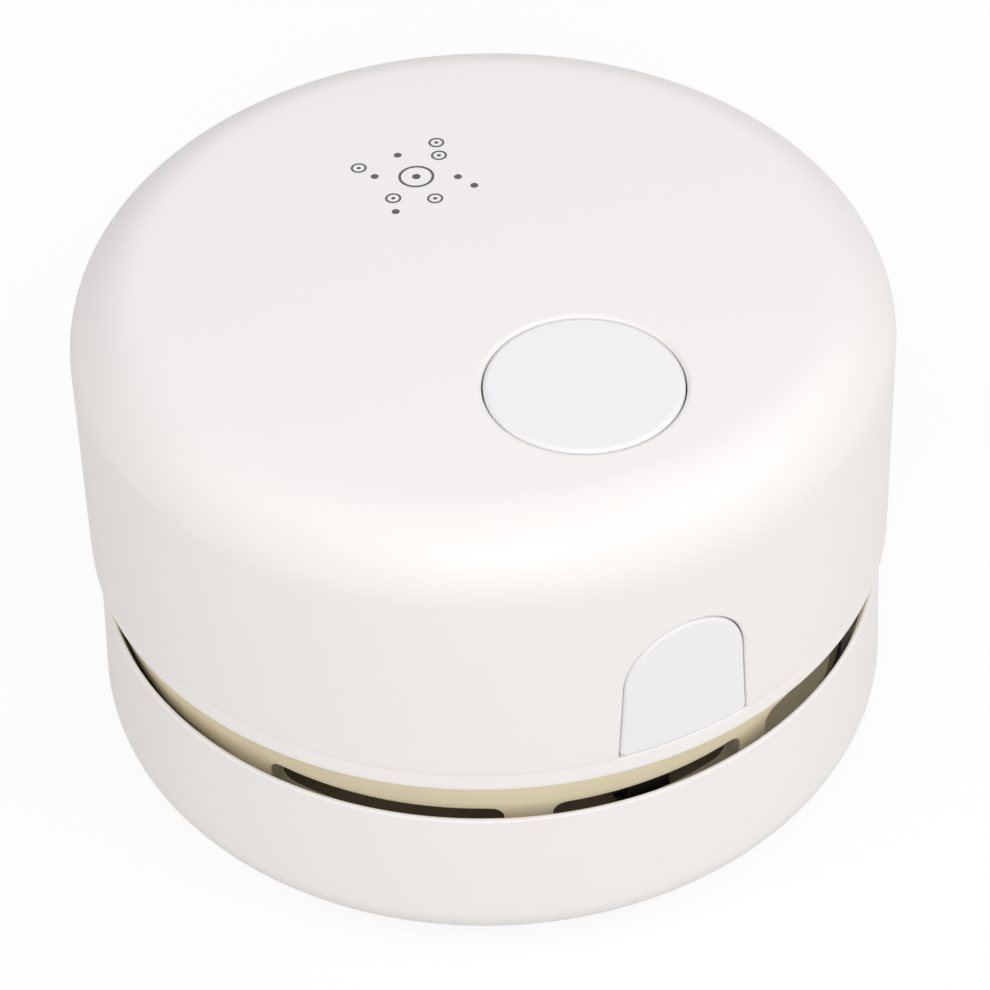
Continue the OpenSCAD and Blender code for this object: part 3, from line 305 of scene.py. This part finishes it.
def arch(grow):
    """The release button's opening: two sides that lean in a little and a round top."""
    return np.concatenate([[[ARCH_FOOT + grow, DECK_TOP - 1]], arc((0, ARCH_SPRING), ARCH_HALF + grow, 0, 180, 64),
                           [[-ARCH_FOOT - grow, DECK_TOP - 1]]])


def oval(half_width, half_height, x, z):
    """A flat oval or a circle, as an outline that can grow."""
    def outline(grow):
        h, w = half_height + grow, half_width - half_height
        return np.concatenate([arc((x + w, z), h, -90, 90, 24), arc((x - w, z), h, 90, 270, 24),
                               [[x + w, z - h]]])
    return outline


foot_rows = DECK_TOP + SHELL_EDGE * np.array([0, 0.08, 0.3, 0.6, 1])
LEVEL, LEVELS, FOOT_ROWS = 0.7, 33, len(foot_rows) - 1
side_z = np.concatenate([foot_rows, DECK_TOP + LEVEL * np.arange(1, LEVELS)])
windows = [  # (first and last column, first and last level, the way it faces, outline, open at the foot)
    ((-8, 8), (0, 25), 0, arch, True),
    ((114, 126), (4, 12), 180, oval(4.75, 1.9, 0, 31.8), False),
    ((110, 114), (5, 11), 180, oval(1.05, 1.05, -8.5, 31.9), False)]
solid = np.ones((len(side_z) - 1, COLUMNS), bool)
shell = []
for (first, last), (low, high), facing, outline, at_foot in windows:
    bottom, top = (0 if at_foot else low + FOOT_ROWS), high + FOOT_ROWS
    solid[np.ix_(range(bottom, top), np.arange(first, last) % COLUMNS)] = False
    shell += window((first, last), side_z[bottom:top + 1], facing, outline, side_r, SHELL_WALL, SHELL_WALL, at_foot)
outer, inner = (turned(np.stack([side_r(side_z, d), side_z], 1), COLUMNS) for d in (0.0, SHELL_WALL))
shell += [(outer, cells(outer.shape, keep=solid)), (inner, cells(inner.shape, keep=solid))]
foot = np.array([outer[0], inner[0]])
shell.append((foot, cells(foot.shape, keep=solid[:1])))
for depth in (0.0, SHELL_WALL):
    bend = arc((SHOULDER_C, SIDE_TOP), SHOULDER_R - depth, 0, SHOULDER_END, 26)
    shell.append((turned(bend, COLUMNS),))
    edge = turned(bend[-1:], COLUMNS)[0]
    hub = np.array([0, BUTTON_Y])
    ray = edge[:, :2] - hub
    ray /= np.linalg.norm(ray, axis=1)[:, None]
    steps = rim_steps(HOLE_EDGE, 0) if depth == 0 else np.array([[COLLAR_R - BUTTON_HOLE, 0]])
    near = hub + ray * (BUTTON_HOLE + steps[0, 0])
    rows = [np.concatenate([p, (crown(*p.T) - depth)[:, None]], 1)
            for p in (edge[:, :2] + (near - edge[:, :2]) * t for t in np.linspace(0, 1, 30))]
    for grow, deep in steps[1:-1]:
        p = hub + ray * (BUTTON_HOLE + grow)
        rows.append(np.concatenate([p, (crown(*p.T) - deep)[:, None]], 1))
    rows[0] = edge
    for radius in ([BUTTON_HOLE] if depth == 0 else [COLLAR_R, BUTTON_HOLE]):
        p = hub + ray * radius
        rows.append(np.concatenate([p, np.full((COLUMNS, 1), COLLAR_Z)], 1))
    shell.append((np.array(rows),))
BOSS_HOLE, BOSS_R, BOSS_RING, BOSS_TOP, BOSS_DEPTH = 0.9, 2.4, 34.0, 52.5, 9
for turn in (-90, 40, 140):
    post = turned([[BOSS_HOLE, DECK_TOP + BOSS_DEPTH], [BOSS_HOLE, DECK_TOP + 0.15], [BOSS_HOLE + 0.15, DECK_TOP],
                   [BOSS_R, DECK_TOP], [BOSS_R, BOSS_TOP], [0, BOSS_TOP], [0, DECK_TOP + BOSS_DEPTH],
                   [BOSS_HOLE, DECK_TOP + BOSS_DEPTH]], 40)
    shell.append((spun(post + [0, -BOSS_RING, 0], turn), cells(post.shape)))
    corners, faces = brick((-0.6, -41.4, DECK_TOP + 3), (0.6, -BOSS_RING - 1.6, SIDE_TOP))
    shell.append((spun(corners, turn), faces))
piece("casing_top", shell, white_abs, "head", ["top_shell"])

# ==== Power button
# A round cap cut from the same surface as the top, with a softened edge, a skirt that runs in the shell's collar
# and a flange that stops it from coming out. It clicks down by a millimetre and a half.
CAP_R, CAP_T, BUTTON_FOOT, FLANGE_R, STEM_R, PLUNGER_TOP = 9.95, 1.8, 51.0, 11.1, 2.2, 48.2
CAP_EDGE = 0.5
white_button = plastic("white button", shade(239, 237, 240), roughness=0.42, drift=0.01,
                       Specular_IOR_Level=0.42)

cap_steps = np.concatenate([
    [[r, 0] for r in np.linspace(0, CAP_R - CAP_EDGE - 0.06, 14)],
    arc((CAP_R - CAP_EDGE, -CAP_EDGE), CAP_EDGE, 90, 0, 5),
    [[CAP_R, -CAP_EDGE - 0.06], [CAP_R, -2.6]]])
cap = turned(cap_steps, 120, (0, BUTTON_Y))
cap[..., 2] += crown(cap[..., 0], cap[..., 1])
under = np.array([[CAP_R, COLLAR_Z - 0.2], [FLANGE_R, COLLAR_Z - 0.2], [FLANGE_R, BUTTON_FOOT],
                  [CAP_R - 1.3, BUTTON_FOOT], [CAP_R - 1.3, CROWN_Z - CAP_T], [STEM_R, CROWN_Z - CAP_T],
                  [STEM_R, PLUNGER_TOP], [0, PLUNGER_TOP]])
below = turned(under, 120, (0, BUTTON_Y))
button = np.concatenate([cap, below])
piece("power_cap", [(button,)], white_button, "power_button", ["power_button"])

# ==== Printed ornament
# Fine rings and dots are printed in grey ink behind the button, in staggered rows round one larger ring. The ink
# stands on the crowned top by the thickness of a print.
INK_T = 0.02
PRINT_X, PRINT_Y = 0.6, 15.8
PRINT_ROWS = ((3, 4.6, -4.4), (2, 7.6, -2.2), (2, 7.6, 2.2), (3, 4.6, 4.4))  # marks, their pitch, distance in y
ink = plastic("grey ink", shade(92, 91, 92), roughness=0.55, drift=0.08, grain=0.03)


def ring_of_ink(x, y, outer, inner=0.0, columns=40):
    """A printed ring, or a dot where inner is 0: its section carried round the middle, laid on the crowned top."""
    section = [[inner, INK_T], [outer, INK_T], [outer, -INK_T], [inner, -INK_T]]
    made = turned(section + section[:1], columns, (x, y))
    made[..., 2] += crown(made[..., 0], made[..., 1])
    return (made,)


marks = [ring_of_ink(PRINT_X, PRINT_Y, 1.9, 1.62), ring_of_ink(PRINT_X, PRINT_Y, 0.45)]
for row, (count, pitch, away) in enumerate(PRINT_ROWS):
    for k in range(count):
        x, y = PRINT_X + (k - (count - 1) / 2) * pitch, PRINT_Y + away
        if (row + k) % 2:
            marks += [ring_of_ink(x, y, 0.85, 0.62), ring_of_ink(x, y, 0.22, columns=16)]
        else:
            marks.append(ring_of_ink(x, y, 0.42, columns=24))
piece("top_print", marks, ink, "head")

# ==== Release button
# An arch-shaped plate that fills the shell's front opening, flush with it and rounded at its edge. A lip behind
# the shell keeps it in, and its bracket carries the latch arm. It is pushed in with a thumb.
ARCH_GAP, PLATE_THICK, PLATE_FOOT, PLATE_EDGE = 0.15, 1.9, 26.36, 0.35
plate_middle = np.array([0, 33.0])


def plate_outline(inset):
    """The plate's closed outline: the opening's shape less the gap, with soft lower corners."""
    half = np.interp(PLATE_FOOT, [DECK_TOP - 1, ARCH_SPRING], [ARCH_FOOT, ARCH_HALF]) - ARCH_GAP - inset
    low, soft = PLATE_FOOT + inset, 0.5
    corner_r = arc((half - soft, low + soft), soft, -90, 0, 6)
    top = arc((0, ARCH_SPRING), ARCH_HALF - ARCH_GAP - inset, 0, 180, 64)
    corner_l = arc((soft - half, low + soft), soft, 180, 270, 6)
    return np.concatenate([corner_r, top, corner_l, corner_r[:1]])


plate_angles = np.radians(np.arange(0, 360, 2.0) + 0.5)
plate_spread = np.array([ARCH_HALF, 8.0])


def plate_ring(inset, depth, scale=1.0):
    """One closed row of the plate: its outline taken in by inset and shrunk by scale, at a depth below the shell."""
    p = plate_middle + (meets(plate_outline(inset), plate_middle, plate_spread, plate_angles) - plate_middle) * scale
    return on_wall(p[:, 0], p[:, 1], depth, side_r, 0)


turns = np.radians(np.linspace(0, 90, 6))
rows = [plate_ring(PLATE_EDGE + 0.05, 0, s) for s in np.linspace(0, 1, 14)]
rows += [plate_ring(PLATE_EDGE * (1 - math.sin(a)), PLATE_EDGE * (1 - math.cos(a))) for a in turns]
rows += [plate_ring(0, PLATE_EDGE + 0.06), plate_ring(0, PLATE_THICK)]
rows += [plate_ring(0, PLATE_THICK, s) for s in (0.5, 0)]
plate = np.array(rows)


def lip_ring(grow, depth, scale=1.0):
    """One row of the keeper lip, which stands behind the shell all round the plate."""
    shape = np.concatenate([arch(grow)[1:-1], [[-ARCH_FOOT - grow, 26.5], [ARCH_FOOT + grow, 26.5]], arch(grow)[1:2]])
    p = plate_middle + (meets(shape, plate_middle, plate_spread, plate_angles) - plate_middle) * scale
    return on_wall(p[:, 0], p[:, 1], depth, side_r, 0)


lip = np.array([lip_ring(1, 2.4, s) for s in (0, 0.5, 1)] + [lip_ring(1, 3.5, s) for s in (1, 0.5, 0)])
bracket = brick((-3.4, -40.4, 26.5), (3.4, -35.4, 34.2))
backing = brick((-3.6, -41.6, 28.2), (3.6, -39.2, 38.5))
piece("release_plate", [(plate,), (lip,), bracket, backing],
      white_button, "release_latch", ["release_button"])

# ==== Charging socket
# An oval steel shell drawn from one strip, open at the back, with a black tongue in its middle that carries two rows
# of gilt contacts.
SOCKET_Z, SOCKET_BACK, SOCKET_MOUTH, SOCKET_WALL = 31.8, 35.0, 42.3, 0.3
socket_steel = plastic("socket steel", shade(198, 198, 196), roughness=0.28, metallic=1.0, grain=0.08)


def oval_rows(half_width, half_height, steps):
    """Closed rows round a flat oval: each is the outline grown by its first value, at the depth of its second."""
    rows = []
    for grow, y in steps:
        line = oval(half_width, half_height, 0, SOCKET_Z)(grow)[:-1]
        rows.append(np.stack([line[:, 0], np.full(len(line), y), line[:, 1]], 1))
    return (np.array(rows),)


piece("socket_shell", [oval_rows(4.45, 1.6, [
    (-1.55, SOCKET_BACK), (0, SOCKET_BACK), (0, SOCKET_MOUTH - 0.1), (-0.1, SOCKET_MOUTH),
    (0.1 - SOCKET_WALL, SOCKET_MOUTH), (-SOCKET_WALL, SOCKET_MOUTH - 0.1), (-SOCKET_WALL, SOCKET_BACK + 1.2),
    (-1.55, SOCKET_BACK + 1.2), (-1.55, SOCKET_BACK)])], socket_steel, "head", ["charge_socket"])
socket_black = plastic("socket tongue", shade(30, 30, 31), roughness=0.5)
piece("socket_tongue", [oval_rows(3.3, 0.35, [
    (-0.3, SOCKET_BACK + 1.1), (0, SOCKET_BACK + 1.1), (0, SOCKET_MOUTH - 1.1), (-0.08, SOCKET_MOUTH - 1.0),
    (-0.3, SOCKET_MOUTH - 1.0), (-0.3, SOCKET_BACK + 1.1)])], socket_black, "head")
gilt = plastic("gilt contacts", shade(222, 184, 104), roughness=0.3, metallic=1.0, grain=0.05)
piece("socket_contacts", [brick((x - 0.12, SOCKET_BACK + 1.4, SOCKET_Z + side * 0.36 - 0.03),
                                (x + 0.12, SOCKET_MOUTH - 1.6, SOCKET_Z + side * 0.36 + 0.03))
                          for side in (-1, 1) for x in np.linspace(-2.75, 2.75, 12)],
      gilt, "head")

# ==== Deck
# The white disc under the shell carries the motor, the battery and the boards, and its edge shows as a bright lip
# all round. The plate is the solid's own mesh with its rim drawn in, and the lip is turned round it.
DECK_Z, LIP_Z, LIP_IN, LIP_R = 24.4, 24.15, 42.0, 43.0
deck_mesh = nodes["chassis"].data.copy()
work = bmesh.new()
work.from_mesh(deck_mesh)
bmesh.ops.remove_doubles(work, verts=work.verts, dist=1e-6)
deck_faces = [[v.index for v in f.verts] for f in work.faces]
deck_points = np.array([v.co for v in work.verts]) * 1000
work.free()
bpy.data.meshes.remove(deck_mesh)
rim_points = np.hypot(deck_points[:, 0], deck_points[:, 1]) > LIP_IN
deck_points[rim_points, :2] *= (LIP_IN + 0.3) / np.hypot(*deck_points[rim_points, :2].T)[:, None]
deck_points[rim_points, 2] = np.clip(deck_points[rim_points, 2], DECK_Z + 0.1, DECK_TOP - 0.1)
lip_profile = np.concatenate([
    [[LIP_IN - 1, DECK_Z], [LIP_IN, LIP_Z], [LIP_R - 0.35, LIP_Z]], arc((LIP_R - 0.3, LIP_Z + 0.3), 0.3, -90, 0, 6),
    [[LIP_R, LIP_Z + 0.35], [LIP_R, LIP_Z + 1], [LIP_R - 0.12, DECK_TOP - 0.3]],
    arc((LIP_R - 0.35, DECK_TOP - 0.23), 0.23, 0, 90, 5), [[LIP_IN, DECK_TOP], [LIP_IN - 1, DECK_Z]]])
piece("deck_plate", [(deck_points, deck_faces), (turned(lip_profile, 300),)], white_abs, "head",
      ["chassis"])

# ==== Outlet ring
# The recessed band between the two shells is moulded in a champagne pearl finish, in two halves that meet in fine
# joints at the sides, where pads on them centre the head in the bin's rim. The fan's air leaves through its long
# slots, three to a half, which have deep cheeks.
RING_R, RING_IN, RING_LOW, RING_TOP, CHEEK = 39.0, 37.4, 10.2, 24.4, 3.0
SLOT_LOW, SLOT_TOP, SLOT_CORNER = 11.7, 17.15, 1.3
SEAM_COLUMNS, SEAM_HALF, FRAME_COLUMNS = (-65, 55), 0.12, (-44, 30)
# Each slot: its ends in degrees, then the columns of the grid that frame it.
SLOTS = [(-63, -25.5, -43, -16), (-18, 14, -13, 11), (20, 41, 12, 29)]
# The pads: (height, how far out) up the band, and (turn, share) along it.
PAD_RISE = [(13, 0), (15.5, 1.1), (17.5, 1.35), (19.4, 1.6), (21, 1.5), (23.4, 0)]
PAD_ENDS = [(-97.5, 1.6), (-84, 1.1), (-68, 0), (44, 0), (50, 1), (60, 1.4), (82.5, 1.6)]
champagne = plastic("champagne pearl", shade(246, 237, 208), roughness=0.4, drift=0.04, grain=0.1,
                    grain_scale=5200, gloss_drift=0.08)


def pads(z, turns):
    """How far the side pads stand out at heights z and turns: a rise and fall up the band, times a ramp along it."""
    return np.interp(z, *np.transpose(PAD_RISE))[:, None] * np.interp(turns, *np.transpose(PAD_ENDS))


band_z = np.concatenate([[RING_LOW, 10.5, 10.8], np.linspace(11.1, 17.9, 21), np.linspace(18.6, RING_TOP, 10)])
frame_z = band_z[3:24]
for half_turn, half_name in ((0, "front"), (180, "back")):
    turns = half_turn + STEP * np.arange(SEAM_COLUMNS[0], SEAM_COLUMNS[1] + 1)
    turns[0] += SEAM_HALF
    turns[-1] -= SEAM_HALF
    whole = np.ones((len(band_z) - 1, len(turns) - 1), bool)
    ring = []
    for first, last, c0, c1 in SLOTS:
        half = RING_R * math.sin(math.radians(last - first) / 2)

        def slot_shape(grow, half=half):
            """A rectangle with round corners, grown outwards."""
            r, x, low, high = SLOT_CORNER + grow, half - SLOT_CORNER, SLOT_LOW + SLOT_CORNER, SLOT_TOP - SLOT_CORNER
            return np.concatenate([arc((x, low), r, -90, 0, 12), arc((x, high), r, 0, 90, 12),
                                   arc((-x, high), r, 90, 180, 12), arc((-x, low), r, 180, 270, 12), [[x, low - r]]])

        whole[3:23, c0 - SEAM_COLUMNS[0]:c1 - SEAM_COLUMNS[0]] = False
        shift = round(half_turn / STEP)
        ring += window((c0 + shift, c1 + shift), frame_z, (first + last) / 2 + half_turn, slot_shape,
                       lambda z: RING_R + 0 * z, CHEEK, CHEEK, edge=0.15)
    framed = np.zeros(len(turns) - 1, bool)
    framed[FRAME_COLUMNS[0] - SEAM_COLUMNS[0]:FRAME_COLUMNS[1] - SEAM_COLUMNS[0]] = True
    for radius, rows_z, keep in (
            (RING_R, band_z, whole), (RING_R - CHEEK, frame_z, whole[3:23] & framed),
            (RING_IN, frame_z, np.broadcast_to(~framed, (20, len(framed)))),
            (RING_IN, band_z[:4], None), (RING_IN, band_z[23:], None)):
        skin = turned(np.stack([np.full(len(rows_z), radius), rows_z], 1), turns=turns)
        if radius == RING_R:
            skin[..., :2] *= 1 + pads(rows_z, turns - half_turn)[..., None] / RING_R
        ring.append((skin, cells(skin.shape, closed=False, keep=keep)))
    for z, reach, keep in ((RING_LOW, RING_R, None), (RING_TOP, RING_R, None),
                           (frame_z[0], RING_R - CHEEK, framed[None]), (frame_z[-1], RING_R - CHEEK, framed[None])):
        ledge = turned([[RING_IN, z], [reach, z]], turns=turns)
        ring.append((ledge, cells(ledge.shape, closed=False, keep=keep)))
    for turn, inside, rows_z in [(t, RING_R, band_z) for t in turns[[0, -1]]] + [
            (half_turn + STEP * c, RING_R - CHEEK, frame_z) for c in FRAME_COLUMNS]:
        out = inside + (pads(rows_z, [turn - half_turn])[:, 0] if inside == RING_R else 0 * rows_z)
        wall = turned(np.stack([out, rows_z], 1), turns=[turn])
        wall = np.concatenate([wall, turned(np.stack([np.full(len(rows_z), RING_IN), rows_z], 1), turns=[turn])], 1)
        ring.append((wall, cells(wall.shape, closed=False)))
    piece("outlet_band_" + half_name, ring, champagne, "head", ["outlet_" + half_name])

# ==== Other finishes
# What stays as the solids have it gets its own finish here.


def finish(names, material):
    """Gives the solids' own pieces a finish."""
    for name in names.split():
        for held in nodes[name].material_slots:
            held.material = material


grey_plastic = plastic("grey plastic", shade(168, 168, 166), roughness=0.5)
dark_plastic = plastic("dark plastic", shade(38, 36, 34), roughness=0.5)
# The fan plate, filter cup and nozzle share one tone: the champagne's hue, made darker and browner as painted shade
# so that the inside seen through the slots stays dim.
champagne_in_painted_shade = plastic("champagne in painted shade", shade(150, 134, 112), roughness=0.5)
steel = plastic("steel", shade(196, 196, 194), roughness=0.3, metallic=1.0, grain=0.1)
copper = plastic("copper winding", shade(196, 118, 72), roughness=0.35, metallic=1.0)
bronze = plastic("bronze", shade(168, 128, 74), roughness=0.5, metallic=1.0)
rubber = plastic("dark rubber", shade(34, 34, 34), roughness=0.8)
pad = plastic("glide pad", shade(190, 190, 188), roughness=0.7)
sponge = plastic("sponge", shade(88, 88, 90), roughness=0.95, grain=1.0, grain_scale=900)
sleeve = plastic("cell sleeve", shade(58, 96, 150), roughness=0.3)
tape = plastic("tape", shade(214, 196, 120), roughness=0.6)
board = plastic("circuit board", shade(36, 96, 64), roughness=0.35)
finish("cover_posts", white_abs)
finish("seat_ring filter_frame", grey_plastic)
finish("fan_plate filter_cup inlet_nozzle", champagne_in_painted_shade)
finish("latch_arm board_chips switch_body brush_ring", dark_plastic)
finish("cover_seal motor_damper", rubber)
finish("impeller motor_end_cap switch_plunger", white_button)
finish("glide_feet", pad)
finish("cover_screws motor_shaft motor_can motor_clamp clamp_screws battery_tabs board_screws "
       "switch_board_screws button_spring release_spring shell_screws filter_mesh motor_magnets", steel)
finish("motor_armature", copper)
finish("motor_bushes motor_terminals", bronze)
finish("filter_sponge", sponge)
finish("battery_cell", sleeve)
finish("battery_tape", tape)
finish("charge_board switch_board", board)
finish("charge_light", white_button)
finish("lead_motor_plus lead_cell_plus", plastic("red wire", shade(178, 30, 26), roughness=0.45))
finish("lead_motor_minus lead_cell_minus", plastic("black wire", shade(30, 30, 30), roughness=0.45))
finish("lead_switch_a lead_switch_b", plastic("white wire", shade(226, 226, 222), roughness=0.45))

# ==== Table, light and camera
# A plain white table that keeps a soft shadow, a pale room and large soft lamps, and the photograph's viewpoint.
# The table is whiter to the eye and to mirrors than in the light it throws back on the object.
TABLE_GLOW, TABLE_BOUNCE, TABLE_SEEN = 0.86, (0.62, 0.605, 0.57, 1), (0.97, 0.97, 0.97, 1)
scene = bpy.context.scene
scene.view_settings.view_transform = "Standard"

table_mesh = bpy.data.meshes.new("table")
table_mesh.from_pydata([(-3, -3, 0), (3, -3, 0), (3, 3, 0), (-3, 3, 0)], [], [(0, 1, 2, 3)])
table = bpy.data.objects.new("table", table_mesh)
scene.collection.objects.link(table)
table_white = bpy.data.materials.new("table white")
table_white.use_nodes = True
tree = table_white.node_tree
matt = tree.nodes["Principled BSDF"]
matt.inputs["Roughness"].default_value = 1
matt.inputs["Specular IOR Level"].default_value = 0
glow = place(tree, "ShaderNodeEmission", -200, -200, in_Strength=1.0)
light_path = place(tree, "ShaderNodeLightPath", -600, 300)
seen = place(tree, "ShaderNodeMath", -400, 200, operation="MAXIMUM")
seen_too = place(tree, "ShaderNodeMath", -250, 200, operation="MAXIMUM")
share = place(tree, "ShaderNodeMath", -100, 200, operation="MULTIPLY")
share.inputs[1].default_value = TABLE_GLOW
paint = place(tree, "ShaderNodeMix", -100, 400, data_type="RGBA")
paint.inputs[6].default_value, paint.inputs[7].default_value = TABLE_BOUNCE, TABLE_SEEN
blend = place(tree, "ShaderNodeMixShader", 100, 100)
tree.links.new(light_path.outputs["Is Camera Ray"], seen.inputs[0])
tree.links.new(light_path.outputs["Is Glossy Ray"], seen.inputs[1])
tree.links.new(seen.outputs[0], seen_too.inputs[0])
tree.links.new(light_path.outputs["Is Transmission Ray"], seen_too.inputs[1])
tree.links.new(seen_too.outputs[0], share.inputs[0])
tree.links.new(seen_too.outputs[0], paint.inputs[0])
tree.links.new(paint.outputs[2], matt.inputs["Base Color"])
tree.links.new(share.outputs[0], blend.inputs["Fac"])
tree.links.new(matt.outputs[0], blend.inputs[1])
tree.links.new(glow.outputs[0], blend.inputs[2])
tree.links.new(blend.outputs[0], tree.nodes["Material Output"].inputs["Surface"])
table_mesh.materials.append(table_white)

room = bpy.data.worlds.new("room")
room.use_nodes = True
scene.world = room
tree = room.node_tree
daylight = tree.nodes["Background"]
daylight.inputs["Color"].default_value = (1.0, 1.0, 1.0, 1)
daylight.inputs["Strength"].default_value = 0.4
backdrop = place(tree, "ShaderNodeBackground", 0, -200, in_Strength=1.0)
path = place(tree, "ShaderNodeLightPath", -400, 300)
either = place(tree, "ShaderNodeMath", -200, 200, operation="MAXIMUM")
pick = place(tree, "ShaderNodeMixShader", 300, 100)
tree.links.new(path.outputs["Is Camera Ray"], either.inputs[0])
tree.links.new(path.outputs["Is Transmission Ray"], either.inputs[1])
tree.links.new(either.outputs[0], pick.inputs["Fac"])
tree.links.new(daylight.outputs[0], pick.inputs[1])
tree.links.new(backdrop.outputs[0], pick.inputs[2])
tree.links.new(pick.outputs[0], tree.nodes["World Output"].inputs["Surface"])


LAMP_SIZE, LIT_POINT = 0.5, Vector((0, 0, 0.035))
PALE_WARM, WARM, WHITE = (1.0, 0.995, 0.978), (1.0, 0.99, 0.965), (1, 1, 1)


def lamp(name, spot, power, colour):
    """A square soft lamp at a spot in metres, that faces the object."""
    light = bpy.data.lights.new(name, "AREA")
    light.energy, light.size, light.color = power, LAMP_SIZE, colour
    held = bpy.data.objects.new(name, light)
    held.location = spot
    held.rotation_mode = "QUATERNION"
    held.rotation_quaternion = (LIT_POINT - Vector(spot)).to_track_quat("-Z", "Y")
    scene.collection.objects.link(held)


lamp("front softbox", (-0.324, -0.663, 0.514), 3.4, PALE_WARM)
lamp("left softbox", (-0.644, 0.114, 0.624), 1.6, WARM)
lamp("right softbox", (0.476, -0.529, 0.552), 1.8, PALE_WARM)
lamp("far right softbox", (0.701, -0.124, 0.552), 1.2, PALE_WARM)
lamp("back softbox", (0.287, 0.588, 0.624), 0.7, WHITE)

CAMERA_TURN, CAMERA_RISE, CAMERA_AWAY, CAMERA_ROLL = -26.323, 41.504, 0.371204, -1.838
target = Vector((0, 0, 0.0312))
turn, rise = math.radians(CAMERA_TURN), math.radians(CAMERA_RISE)
back_way = Vector((math.sin(turn) * math.cos(rise), -math.cos(turn) * math.cos(rise), math.sin(rise)))
lens = bpy.data.cameras.new("camera")
lens.lens, lens.sensor_width = 126.054, 36
lens.shift_x, lens.shift_y = 0.0085, -0.0451
lens.clip_start, lens.clip_end = 0.01, 20
camera = bpy.data.objects.new("camera", lens)
camera.location = target + back_way * CAMERA_AWAY
camera.rotation_mode = "QUATERNION"
camera.rotation_quaternion = (-back_way).to_track_quat("-Z", "Y") @ Quaternion((0, 0, 1), math.radians(CAMERA_ROLL))
scene.collection.objects.link(camera)
scene.camera = camera
